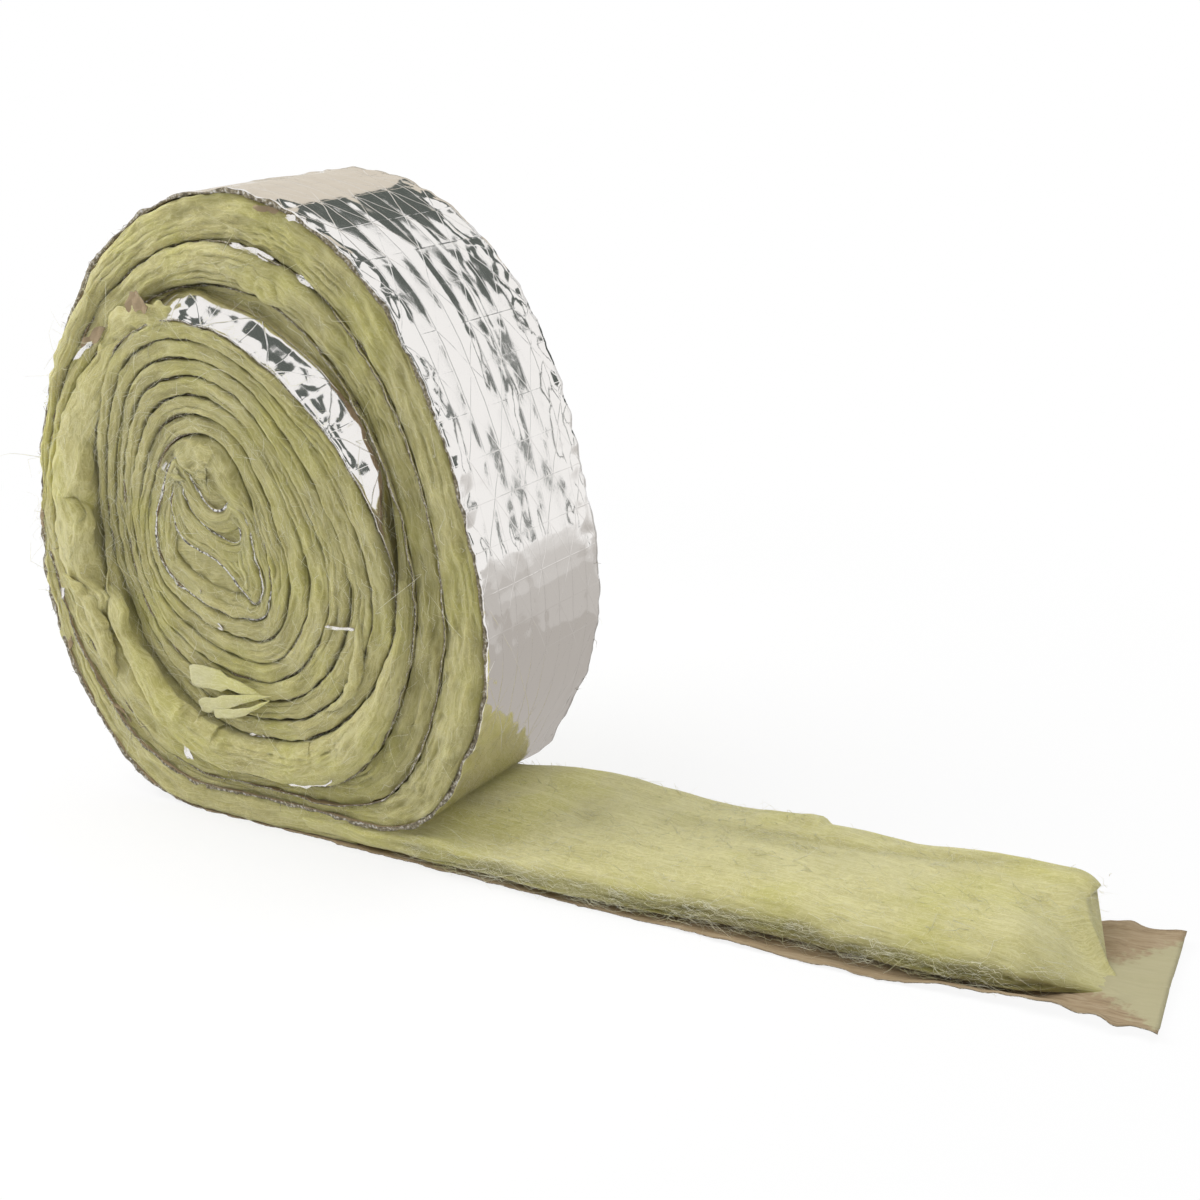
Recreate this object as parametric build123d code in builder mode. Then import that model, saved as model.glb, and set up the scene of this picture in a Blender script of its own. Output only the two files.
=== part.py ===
from build123d import *
from math import atan2, cos, degrees, pi, radians, remainder, sin
import os

# A roll of faced glass wool strip, as used to wrap pipes and ducts. The strip is a yellow
# glass wool blanket with a thin foil facing glued to its outer side, wound up foil outwards.
# The inner turns are tight and lean a little out of the face. The last three wraps are
# loose, with a crescent of air under their top, and the free end lies along the floor,
# wool side up. At its end the wool stops first, and the bare facing runs on as a tab.
# Frame: origin on the floor under the roll, mid-width. +X along the free end, Y across the
# strip, with the face that shows the folded core towards -Y, and +Z up.

# The strip, in millimetres.
strip_width = 101.6
wool_thickness = 25.4
facing_thickness = 0.5

# The free end: where the roll lifts off the floor, how far the wool and the bare facing
# reach along the far edge, and how much further their slanted cuts reach at the near edge.
floor_start_x = -50.0
wool_end_x = 402.0
wool_end_slant = 31.0
tab_end_x = 452.0
tab_end_slant = 13.0

# The free end's wool is torn back from the facing's near edge: how deep, and between which
# reaches the tear grows to that depth.
tear_depth = 7.5
tear_start_x = 190.0
tear_full_x = 245.0

# The folded core: the strip's first length, crushed into a zigzag by hand, as the corners
# of its folds round its middle from the strip's very end outwards. Then the radius of its
# bends, and how far above the core's middle it turns down into the first turn.
middle_x = -2.0
core_fold = [
    (-1.5, 16.0),
    (-3.5, -0.5),
    (-36.5, 18.0),
    (-33.5, 35.5),
    (-41.5, 34.5),
    (-47.5, 11.0),
    (-36.0, -3.5),
    (-20.0, -5.5),
    (-7.0, -21.0),
    (3.0, -31.0),
    (10.0, -17.0),
    (4.5, 1.0),
    (7.0, 19.0),
    (-2.0, 29.5),
    (-13.0, 18.0),
    (-24.0, 25.0),
    (-29.5, 42.0),
    (-39.0, 47.0),
]
fold_bend = 3.5
core_rise = 12.0

# The tight coil: how far its first turn reaches from the core's middle, and the share of
# the wool's free thickness that is left on each side of a turn, pressed by hand.
tight_turns = 6
core_right = 13.5
core_top = 58.0
core_left = 64.0
core_bottom = 36.0
tight_right = 0.48
tight_top = 0.34
tight_left = 0.21
tight_bottom = 0.40
tight_shift_top = -14.0
tight_flat = 6.0
side_drop = 3.0

# The three loose wraps, from the inside out: the share of the free thickness that is left
# on each side, how far its outermost point sags or shifts from the middle, and where the
# flat that each wrap has under the coil begins and ends.
loose_right = [0.39, 0.63, 0.84]
loose_top = [0.24, 0.75, 0.81]
loose_left = [1.04, 0.26, 0.22]
loose_bottom = [0.90, 0.20, 0.22]
loose_sag_right = [-10.0, -14.0, -25.0]
loose_sag_left = [-10.0, -18.0, -30.0]
loose_shift_top = [-3.0, 2.0, 7.0]
loose_flat_start = [-20.0, -38.0, -44.0]
loose_flat_end = [10.0, 35.0, 60.0]
floor_share = 0.59

# The crescent of air over the tight coil, and how far the coil leans out at its top.
crescent_height = 8.5
crescent_bite = 2.0
coil_lean = 14.0

# The smaller radius of each quarter turn, as a share of the quarter's shorter side.
corner_share = 0.8


def layer(share):
    """The height of one layer of the strip whose wool is pressed to a share of its own."""
    return wool_thickness * share + facing_thickness


# Heights are summed from the floor up: the free end, the loose wraps, then the tight coil.
loose_levels = []
level = layer(floor_share)
for share in reversed(loose_bottom):
    loose_levels.insert(0, level)
    level += layer(share)
middle_z = level + tight_turns * layer(tight_bottom) + core_bottom

# The side points of every turn, outwards from the core, on the foil side of the facing. A
# turn starts with its flat, as two points, and runs on by its right, top and left point to
# the next turn's flat. The last one ends on the floor.
flats, rights, tops, lefts = [], [], [], []
for turn in range(tight_turns + 1):
    bottom = middle_z - core_bottom - turn * layer(tight_bottom)
    flats.append(((middle_x - tight_flat, bottom), (middle_x, bottom)))
    rights.append((middle_x + core_right + turn * layer(tight_right), middle_z - side_drop))
    tops.append((middle_x + tight_shift_top, middle_z + core_top + turn * layer(tight_top)))
    lefts.append((middle_x - core_left - turn * layer(tight_left), middle_z - side_drop))
for wrap, bottom in enumerate(loose_levels):
    air = crescent_height if wrap == 0 else 0.0
    flats.append(((loose_flat_start[wrap], bottom), (loose_flat_end[wrap], bottom)))
    rights.append((rights[-1][0] + layer(loose_right[wrap]), middle_z + loose_sag_right[wrap]))
    tops.append((middle_x + loose_shift_top[wrap], tops[-1][1] + layer(loose_top[wrap]) + air))
    lefts.append((lefts[-1][0] - layer(loose_left[wrap]), middle_z + loose_sag_left[wrap]))
coil_turn = tight_turns
last_turn = coil_turn + len(loose_levels)
wool_reach = wool_end_x + wool_end_slant
tab_reach = tab_end_x + tab_end_slant
flats.append(((floor_start_x, 0.0), (tab_reach, 0.0)))
core_exit = (lefts[0][0] + layer(tight_left), lefts[0][1])


def quarter(start, end, first_angle, depth=0.0):
    """A quarter turn, counterclockwise from a start that lies at first_angle as seen from
    inside, drawn as a draughtsman's oval. It is two arcs that meet on the line through
    their centres, the smaller one at the end that is further from the quarter's centre.
    A depth moves it in from the foil side with the same centres."""
    sides = (abs(end[0] - start[0]), abs(end[1] - start[1]))
    own, other = sides if first_angle % 180 == 0 else sides[::-1]
    small = corner_share * min(own, other)
    long_side, short_side = max(own, other), min(own, other)
    large = ((long_side - small) ** 2 + short_side ** 2 - small ** 2) / (2 * (short_side - small))
    start_radius, end_radius = (small, large) if own > other else (large, small)
    out = (cos(radians(first_angle)), sin(radians(first_angle)))
    start_centre = (start[0] - start_radius * out[0], start[1] - start_radius * out[1])
    end_centre = (end[0] + end_radius * out[1], end[1] - end_radius * out[0])
    outer, inner = (end_centre, start_centre) if own > other else (start_centre, end_centre)
    joint = degrees(atan2(inner[1] - outer[1], inner[0] - outer[0])) % 360
    CenterArc(start_centre, start_radius - depth, first_angle, joint - first_angle)
    CenterArc(end_centre, end_radius - depth, joint, first_angle + 90 - joint)


def draw_drop(turn, depth=0.0):
    """The quarter that leads from a turn's left point down to the next flat."""
    quarter(lefts[turn], flats[turn + 1][0], 180, depth)


def draw_turn(turn, depth=0.0):
    """One turn from the start of its flat up to its left point."""
    start, end = flats[turn]
    Line((start[0], start[1] + depth), (end[0], end[1] + depth))
    quarter(end, rights[turn], 270, depth)
    quarter(rights[turn], tops[turn], 0, depth)
    quarter(tops[turn], lefts[turn], 90, depth)


def draw_core(depth=0.0):
    """The folded core's line with every corner rounded, up to the left of the first turn. A
    depth moves it in from the foil side: each corner along its bisector, with its radius
    smaller by the depth at a left-hand bend and larger at a right-hand one."""
    corners = [(middle_x + x, middle_z + z) for x, z in core_fold]
    corners += [(core_exit[0], middle_z + core_rise), core_exit]
    ways = [atan2(b[1] - a[1], b[0] - a[0]) for a, b in zip(corners, corners[1:])]
    moved, bends = [], []
    for (x, z), into, out in zip(corners, ways[:1] + ways, ways + ways[-1:]):
        half_bend = remainder(out - into, 2 * pi) / 2
        square = into + half_bend + pi / 2
        reach = depth / cos(half_bend)
        moved.append((x + reach * cos(square), z + reach * sin(square)))
        bends.append(fold_bend - (depth if half_bend > 0 else -depth))
    FilletPolyline(*moved, radius=bends[1:-1])
    return moved[0]


def left_cut(turn):
    """A square cut across the facing at a turn's left point."""
    Line(lefts[turn], (lefts[turn][0] + facing_thickness, lefts[turn][1]))


# The facing of the tight coil: the core's fold and every turn, to the last one's left.
with BuildSketch(Plane.XZ) as coil_facing:
    with BuildLine():
        fold_ends = []
        for depth in (0.0, facing_thickness):
            fold_ends.append(draw_core(depth))
            quarter(core_exit, flats[0][0], 180, depth)
            for turn in range(coil_turn):
                draw_turn(turn, depth)
                draw_drop(turn, depth)
            draw_turn(coil_turn, depth)
        Line(*fold_ends)
        left_cut(coil_turn)
    make_face()

# The facing of the loose wraps and the free end, from there to the tab's end.
with BuildSketch(Plane.XZ) as loose_facing:
    with BuildLine():
        for depth in (0.0, facing_thickness):
            for turn in range(coil_turn + 1, last_turn + 1):
                draw_drop(turn - 1, depth)
                draw_turn(turn, depth)
            draw_drop(last_turn, depth)
            Line((floor_start_x, depth), (tab_reach, depth))
        left_cut(coil_turn)
        Line((tab_reach, 0), (tab_reach, facing_thickness))
    make_face()

# The tight coil's outline. At its left the strip steps from the coil to the loose wraps.
with BuildSketch(Plane.XZ) as coil_outline:
    with BuildLine():
        draw_turn(coil_turn)
        draw_drop(coil_turn - 1)
        Line(lefts[coil_turn], lefts[coil_turn - 1])
    make_face()

# The roll's outline with the free end's wool, which the last wrap lands on.
wool_top = facing_thickness + wool_thickness
with BuildSketch(Plane.XZ) as roll_outline:
    with BuildLine():
        draw_turn(last_turn)
        draw_drop(last_turn)
        Line(flats[-1][0], (flats[last_turn][0][0], 0))
        Line((flats[last_turn][0][0], 0), flats[last_turn][0])
    make_face()
    with BuildLine():
        Polyline((flats[last_turn][0][0], 0), (wool_reach, 0), (wool_reach, wool_top),
                 (flats[last_turn][0][0], wool_top), close=True)
    make_face()

# The crescent of air: what a slightly higher arch leaves over the coil.
with BuildSketch(Plane.XZ) as crescent:
    foot_right = (rights[coil_turn][0] - crescent_bite, rights[coil_turn][1])
    foot_left = (lefts[coil_turn][0] + crescent_bite, lefts[coil_turn][1])
    crown = (tops[coil_turn][0], tops[coil_turn][1] + crescent_height)
    with BuildLine():
        quarter(foot_right, crown, 0)
        quarter(crown, foot_left, 90)
        Line(foot_left, foot_right)
    make_face()
    add(coil_outline.sketch, mode=Mode.SUBTRACT)

blank = strip_width / 2 + coil_lean


def lean_cuts():
    """The tight coil's two faces, which lean out towards its top by the coil's lean."""
    foot = flats[coil_turn][0][1]
    slope = coil_lean / (tops[coil_turn][1] - foot)
    for side, keep in ((-1, Keep.TOP), (1, Keep.BOTTOM)):
        face = Plane(origin=(0, side * strip_width / 2, foot), z_dir=(0, 1, slope))
        split(bisect_by=face, keep=keep)


def slant_cut(far_x, near_x, height):
    """Cuts the free end off from a far edge's reach to a near edge's."""
    half = strip_width / 2
    with BuildSketch(Plane.XY) as beyond:
        with BuildLine():
            Polyline((far_x, half), (near_x, -half), (near_x + half, -half),
                     (near_x + half, half), close=True)
        make_face()
    extrude(beyond.sketch, amount=height, mode=Mode.SUBTRACT)


def torn_edge(height):
    """Cuts the wool back from the near edge, from where the tear starts to the strip's end."""
    near = -strip_width / 2
    with BuildSketch(Plane.XY) as torn_off:
        with BuildLine():
            Polyline((tear_start_x, near), (wool_reach, near), (wool_reach, near + tear_depth),
                     (tear_full_x, near + tear_depth), close=True)
        make_face()
    extrude(torn_off.sketch, amount=height, mode=Mode.SUBTRACT)


with BuildPart() as coil_sheet:
    extrude(coil_facing.sketch, amount=blank, both=True)
    lean_cuts()

with BuildPart() as foil_facing:
    extrude(loose_facing.sketch, amount=strip_width / 2, both=True)
    slant_cut(tab_end_x, tab_reach, facing_thickness)
    add(coil_sheet.part)

with BuildPart() as coil_wool:
    extrude(coil_outline.sketch, amount=blank, both=True)
    lean_cuts()

with BuildPart() as wool_blanket:
    extrude(roll_outline.sketch, amount=strip_width / 2, both=True)
    extrude(coil_outline.sketch, amount=strip_width / 2, both=True, mode=Mode.SUBTRACT)
    extrude(crescent.sketch, amount=strip_width / 2, both=True, mode=Mode.SUBTRACT)
    slant_cut(wool_end_x, wool_reach, wool_top)
    torn_edge(wool_top)
    add(coil_wool.part)
    add(foil_facing.part, mode=Mode.SUBTRACT)

os.makedirs("parts", exist_ok=True)
foil_facing.part.label = "foil_facing"
wool_blanket.part.label = "wool_blanket"
export_step(foil_facing.part, "parts/foil_facing.step")
export_step(wool_blanket.part, "parts/wool_blanket.step")
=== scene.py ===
"""A loose roll of foil-faced glass wool strip, with its free end laid along the floor.

The strip is wound foil outwards. Every surface here is worked out from one line, the foil
side of the facing, which runs from the folded core out through the tight coil and the three
loose wraps and ends flat on the floor. Lengths are in millimetres until a mesh is made, and
each number called seed picks another pattern of the same noise.
"""

from itertools import product

import bpy
import numpy as np
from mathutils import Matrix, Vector


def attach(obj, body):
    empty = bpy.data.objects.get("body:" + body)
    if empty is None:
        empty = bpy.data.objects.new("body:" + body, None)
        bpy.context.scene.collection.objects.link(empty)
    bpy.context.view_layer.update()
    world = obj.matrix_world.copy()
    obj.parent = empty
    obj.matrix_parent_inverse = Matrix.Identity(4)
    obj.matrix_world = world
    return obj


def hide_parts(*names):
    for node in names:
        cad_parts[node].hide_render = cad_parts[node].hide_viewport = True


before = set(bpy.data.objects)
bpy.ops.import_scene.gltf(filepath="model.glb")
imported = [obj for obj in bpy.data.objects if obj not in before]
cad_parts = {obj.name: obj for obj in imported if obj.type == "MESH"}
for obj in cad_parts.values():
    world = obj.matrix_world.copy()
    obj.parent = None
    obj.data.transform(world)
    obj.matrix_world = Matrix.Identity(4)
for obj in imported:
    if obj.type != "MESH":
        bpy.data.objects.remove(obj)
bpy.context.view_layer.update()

# ---------------------------------------------------------------- the strip and its winding

STRIP, WOOL, FACING = 101.6, 25.4, 0.5
HALF = STRIP / 2
FLOOR_START, TAB_END, TAB_SLANT = -50.0, 452.0, 13.0
MIDDLE_X = -2.0
CORE_FOLD = [(-1.5, 16), (-3.5, -0.5), (-36.5, 18), (-33.5, 35.5), (-41.5, 34.5), (-47.5, 11),
             (-36, -3.5), (-20, -5.5), (-7, -21), (3, -31), (10, -17), (4.5, 1), (7, 19),
             (-2, 29.5), (-13, 18), (-24, 25), (-29.5, 42), (-39, 47)]
CORE_CUT = 0.72
TIGHT_TURNS, CORE_RIGHT, CORE_TOP, CORE_LEFT, CORE_BOTTOM = 6, 13.5, 58.0, 64.0, 36.0
TIGHT_RIGHT, TIGHT_TOP, TIGHT_LEFT, TIGHT_BOTTOM = 0.48, 0.34, 0.21, 0.40
TIGHT_SHIFT, TIGHT_FLAT, SIDE_DROP = -14.0, 6.0, 3.0
LOOSE_RIGHT, LOOSE_TOP = (0.39, 0.63, 0.84), (0.24, 0.75, 0.81)
LOOSE_LEFT, LOOSE_BOTTOM = (1.04, 0.26, 0.22), (0.90, 0.20, 0.22)
SAG_RIGHT, SAG_LEFT, SHIFT_TOP = (-10, -14, -25), (-10, -18, -30), (-3, 2, 7)
FLAT_START, FLAT_END = (-20, -38, -44), (10, 35, 60)
FLOOR_SHARE, CRESCENT, CORNER, CORE_RISE = 0.59, 8.5, 0.8, 12.0
YARN, CROSSING = 12.7, 20.0
LEAN_START, LEAN_PER_X, LEAN_PER_Z, LEAN_IN = -19.3, 0.043, 0.131, 4.5


def layer(share):
    """One layer of the strip: the wool pressed to a share of its free depth, and the facing."""
    return WOOL * share + FACING


def points(*parts):
    """Points from their coordinates, each an array or a number."""
    return np.stack(np.broadcast_arrays(*parts), -1)


def grid(rows, columns):
    """Two arrays that give each row's and each column's value all over a grid."""
    return np.meshgrid(rows, columns, indexing="ij")


def read(table, where):
    """A table's value, drawn straight between its pairs of a place and a value."""
    return np.interp(where, *np.array(table, float).T)


def unit(way):
    """Directions in the roll's plane, each made one long."""
    return way / np.maximum(np.hypot(*way.T), 1e-9)[:, None]


def inward(way):
    """Each direction turned a quarter counterclockwise: from the foil side into the wool."""
    return np.c_[-way[:, 1], way[:, 0]]


def drift(where, size, seed=0):
    """Smooth noise from -1 to 1: hashed random values on a lattice of the given cell size,
    blended between each cell's corners by a smoothstep on every axis."""
    spot = np.asarray(where, float) / size
    cell = np.floor(spot)
    part = spot - cell
    part = part * part * (3 - 2 * part)
    primes = np.array([127.1, 311.7, 74.7])[: spot.shape[-1]]
    total = 0.0
    for corner in product((0, 1), repeat=spot.shape[-1]):
        value = np.sin((cell + corner) @ primes + 17.3 * seed) * 43758.5453
        weight = np.where(np.array(corner) == 1, part, 1 - part).prod(axis=-1)
        total = total + weight * (value - np.floor(value))
    return 2 * total - 1


def wander(spot, size, seed):
    """Smooth noise on two axes at once."""
    return points(drift(spot, size, seed), drift(spot, size, seed + 1))


def rise(value, low, high):
    """A smooth step from 0 at low to 1 at high."""
    share = np.clip((np.asarray(value, float) - low) / (high - low), 0, 1)
    return share * share * (3 - 2 * share)


def facets(spot, long, wide, seed):
    """Flat three-cornered facets with heights from -1 to 1. Random heights stand at the
    crossings of a net of long by wide cells; each cell is split by a slant that turns over
    from cell to cell, and a plane lies over each half."""
    u, v = spot[..., 0] / long, (spot[..., 1] + HALF) / wide
    i, j = np.floor(u), np.floor(v)
    turned = (i + j) % 2
    a, b = np.where(turned == 1, 1 - (u - i), u - i), v - j

    def height(m, n):
        value = np.sin(m * 127.1 + n * 311.7 + seed * 17.3) * 43758.5453
        return 2 * (value - np.floor(value)) - 1

    near, far = i + turned, i + 1 - turned
    start, end = height(near, j), height(far, j + 1)
    low, high = height(far, j), height(near, j + 1)
    return np.where(a > b, start + a * (low - start) + b * (end - low),
                    start + b * (high - start) + a * (end - high))


def rounded(line, share, rounds=3):
    """A broken line with its corners cut off: each round keeps two points of every stretch,
    which lie the same share of its length from its two ends."""
    line = np.array(line, float)
    for _ in range(rounds):
        first, last = line[:-1], line[1:]
        cut = np.stack([share * first + (1 - share) * last, (1 - share) * first + share * last], 1)
        line = np.concatenate([line[:1], cut.reshape(-1, 2), line[-1:]])
    return line


def distances(line):
    """How far along a broken line each of its points lies."""
    return np.r_[0, np.cumsum(np.hypot(*np.diff(line, axis=0).T))]


def part_way(line, reach, run):
    """The points of a broken line at distances along it."""
    return np.c_[np.interp(run, reach, line[:, 0]), np.interp(run, reach, line[:, 1])]


def oval_quarter(start, end, angle, steps=60):
    """A quarter turn from start, seen from inside at an angle in degrees, to end. Two arcs
    that touch on the line through their centres: the smaller radius is a fixed share of the
    shorter side, and the larger one follows from the distance between the centres."""
    start, end = np.array(start, float), np.array(end, float)
    sides = np.abs(end - start)
    own, other = sides if angle % 180 == 0 else sides[::-1]
    long_side, short_side = max(own, other), min(own, other)
    small = CORNER * short_side
    large = ((long_side - small) ** 2 + short_side ** 2 - small ** 2) / (2 * (short_side - small))
    first, last = (small, large) if own > other else (large, small)
    turn = np.radians(angle)
    out = np.array([np.cos(turn), np.sin(turn)])
    a, b = start - first * out, end - last * np.array([-out[1], out[0]])
    way = (a - b) if own > other else (b - a)
    joint = turn + (np.arctan2(way[1], way[0]) - turn) % (2 * np.pi)
    one, two = np.linspace(turn, joint, steps), np.linspace(joint, turn + np.pi / 2, steps)
    return np.concatenate([a + first * np.c_[np.cos(one), np.sin(one)],
                           b + last * np.c_[np.cos(two), np.sin(two)]])


def winding():
    """The foil side's line from the core to the tab, and where on it each turn's right, top,
    left and bottom lie. Heights are summed from the floor up, as the layers rest on each
    other; each turn is a flat and four oval quarters."""
    levels, level = [], layer(FLOOR_SHARE)
    for share in LOOSE_BOTTOM[::-1]:
        levels.insert(0, level)
        level += layer(share)
    middle = level + TIGHT_TURNS * layer(TIGHT_BOTTOM) + CORE_BOTTOM
    flats, rights, tops, lefts = [], [], [], []
    for turn in range(TIGHT_TURNS + 1):
        bottom = middle - CORE_BOTTOM - turn * layer(TIGHT_BOTTOM)
        flats.append(((MIDDLE_X - TIGHT_FLAT, bottom), (MIDDLE_X, bottom)))
        rights.append((MIDDLE_X + CORE_RIGHT + turn * layer(TIGHT_RIGHT), middle - SIDE_DROP))
        tops.append((MIDDLE_X + TIGHT_SHIFT, middle + CORE_TOP + turn * layer(TIGHT_TOP)))
        lefts.append((MIDDLE_X - CORE_LEFT - turn * layer(TIGHT_LEFT), middle - SIDE_DROP))
    for wrap, bottom in enumerate(levels):
        air = CRESCENT if wrap == 0 else 0.0
        flats.append(((FLAT_START[wrap], bottom), (FLAT_END[wrap], bottom)))
        rights.append((rights[-1][0] + layer(LOOSE_RIGHT[wrap]), middle + SAG_RIGHT[wrap]))
        tops.append((MIDDLE_X + SHIFT_TOP[wrap], tops[-1][1] + layer(LOOSE_TOP[wrap]) + air))
        lefts.append((lefts[-1][0] - layer(LOOSE_LEFT[wrap]), middle + SAG_LEFT[wrap]))
    flats.append(((FLOOR_START, 0.0), (TAB_END + TAB_SLANT, 0.0)))
    core_exit = (lefts[0][0] + layer(TIGHT_LEFT), lefts[0][1])
    fold = rounded([(MIDDLE_X + x, middle + z) for x, z in CORE_FOLD]
                   + [(core_exit[0], middle + CORE_RISE), core_exit], CORE_CUT)
    runs = [fold, oval_quarter(core_exit, flats[0][0], 180)]
    marks = {"right": [], "top": [], "left": [], "bottom": []}
    for turn, (right, top, left) in enumerate(zip(rights, tops, lefts)):
        marks["bottom"].append(len(runs))
        runs.append(np.array(flats[turn]))
        for side, start, end, angle in (("right", flats[turn][1], right, 270),
                                        ("top", right, top, 0), ("left", top, left, 90)):
            marks[side].append(len(runs) + 1)
            runs.append(oval_quarter(start, end, angle))
        runs.append(oval_quarter(left, flats[turn + 1][0], 180))
    marks["bottom"].append(len(runs))
    runs.append(np.array(flats[-1]))
    line = np.concatenate(runs)
    reach = distances(line)
    first = np.r_[0, np.cumsum([len(run) for run in runs])]
    at = {side: reach[first[np.array(where)]] for side, where in marks.items()}
    keep = np.r_[True, np.diff(reach) > 1e-6]
    return line[keep], reach[keep], at, middle


LINE, REACH, AT, MIDDLE_Z = winding()
COIL_END = AT["left"][TIGHT_TURNS]
LAST_WRAP = AT["left"][TIGHT_TURNS + 2]
FLOOR = AT["bottom"][-1]
END = REACH[-1]
# The first loose wrap's number among all the turns, and where it ends.
WRAP = TIGHT_TURNS + 1
FIRST_WRAP_END = AT["left"][WRAP]


def bearing(here):
    """Degrees counterclockwise round the roll's middle, from its right."""
    return np.degrees(np.arctan2(here[:, 1] - MIDDLE_Z, here[:, 0])) % 360


def on_line(run):
    """Points of the facing's line at distances along it, its direction there, and the way in.
    The loose hand winding shows as a slow drift of the whole roll and a small one of each
    layer, which fade out where the strip lies on the floor."""
    run = np.asarray(run, float)
    step = 1.5
    here, ahead, behind = (part_way(LINE, REACH, r) for r in
                           (run, np.minimum(run + step, END), np.maximum(run - step, 0)))
    loose = 1 - rise(run, FLOOR - 120, FLOOR)
    way = unit(ahead - behind)
    own = drift(run[:, None], 17, 3) * 0.45 + drift(run[:, None], 6, 4) * 0.18
    here = here + loose[:, None] * (wander(here, 46, 1) * 1.6 + inward(way) * own[:, None])
    here[:, 1] = np.maximum(here[:, 1], 0)
    way = unit(np.gradient(here, axis=0)) if len(here) > 2 else way
    return here, way, inward(way)


def room_inside(run):
    """How deep the wool may be at each distance: a ray goes in from the foil side to the
    nearest stretch of the line. Where that stretch shows its own wool side, the two share."""
    least, core_most, nowhere = 2.2, 13, 1e3
    coarse = np.arange(0, END, 3.0)
    here, way, into = on_line(coarse)
    a, d = here[:-1], np.diff(here, axis=0)
    ray, start = into[:-1], here[:-1] + into[:-1] * 0.05
    cross = ray[:, None, 0] * d[None, :, 1] - ray[:, None, 1] * d[None, :, 0]
    gap = a[None] - start[:, None]
    with np.errstate(divide="ignore", invalid="ignore"):
        far = (gap[..., 0] * d[None, :, 1] - gap[..., 1] * d[None, :, 0]) / cross
        along = (gap[..., 0] * ray[:, None, 1] - gap[..., 1] * ray[:, None, 0]) / cross
    apart = np.abs(np.arange(len(a))[:, None] - np.arange(len(a))[None])
    far = np.where((along >= 0) & (along <= 1) & (far > 0.4) & (apart > 2), far, nowhere)
    hit = far.argmin(1)
    depth = far[np.arange(len(a)), hit]
    facing_me = (into[hit] * into[:-1]).sum(1) < 0
    depth = np.minimum(np.where(facing_me, depth / 2 + 0.8, depth - 0.25), WOOL * 1.04)
    coarse = coarse[:-1]
    depth = np.where(coarse < AT["bottom"][0], np.minimum(depth, core_most), depth)
    depth = np.convolve(np.pad(depth, 2, mode="edge"), np.ones(5) / 5, "valid")
    right, top, left = (AT[side][WRAP] for side in ("right", "top", "left"))
    air = rise(coarse, right + 4, top - 120) * (1 - rise(coarse, top + 10, left - 40))
    return np.interp(run, coarse, np.maximum(depth - CRESCENT * air, least))


def lean(here, run):
    """How far the coil stands out of the roll's face: a tilted plane, out at the top and a
    little in at the left, which fades out past the coil's last turn."""
    x, z = here.T
    plane = LEAN_START + LEAN_PER_X * x + LEAN_PER_Z * z
    lowest = -LEAN_IN * rise(-x, 62, 96) * rise(z, 60, 110)
    out = np.logaddexp(0, (plane - lowest) / 2.0) * 2.0 + lowest
    return out * (1 - rise(run, COIL_END - 15, COIL_END + 75))


# ---------------------------------------------------------------------- meshes from arrays

def new_piece(name, verts, faces):
    """A mesh object in the scene, from points in millimetres and lists of corners."""
    mesh = bpy.data.meshes.new(name)
    mesh.from_pydata((verts.reshape(-1, 3) * 0.001).tolist(), [], faces)
    mesh.update()
    piece = bpy.data.objects.new(name, mesh)
    bpy.context.scene.collection.objects.link(piece)
    return piece


def net(rows, columns, closed=False):
    """Four-cornered faces between neighbouring points of a grid, which may close on itself
    across its columns."""
    i, j = grid(np.arange(rows - 1), np.arange(columns if closed else columns - 1))
    k = (j + 1) % columns
    return points(i * columns + j, i * columns + k, (i + 1) * columns + k,
                  (i + 1) * columns + j).reshape(-1, 4)


def lay_of(run, across):
    """The strip's own coordinates in metres over a grid: along it and across it."""
    return points(*grid(run, across)) * 0.001


def lay_round(run, rings):
    """The same for rings, with the mean distance round them as the second coordinate."""
    edge = np.concatenate([rings, rings[:, :1]], 1)
    around = np.linalg.norm(np.diff(edge, axis=1), axis=2).mean(0)
    return lay_of(run, np.r_[0, np.cumsum(around)])


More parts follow.
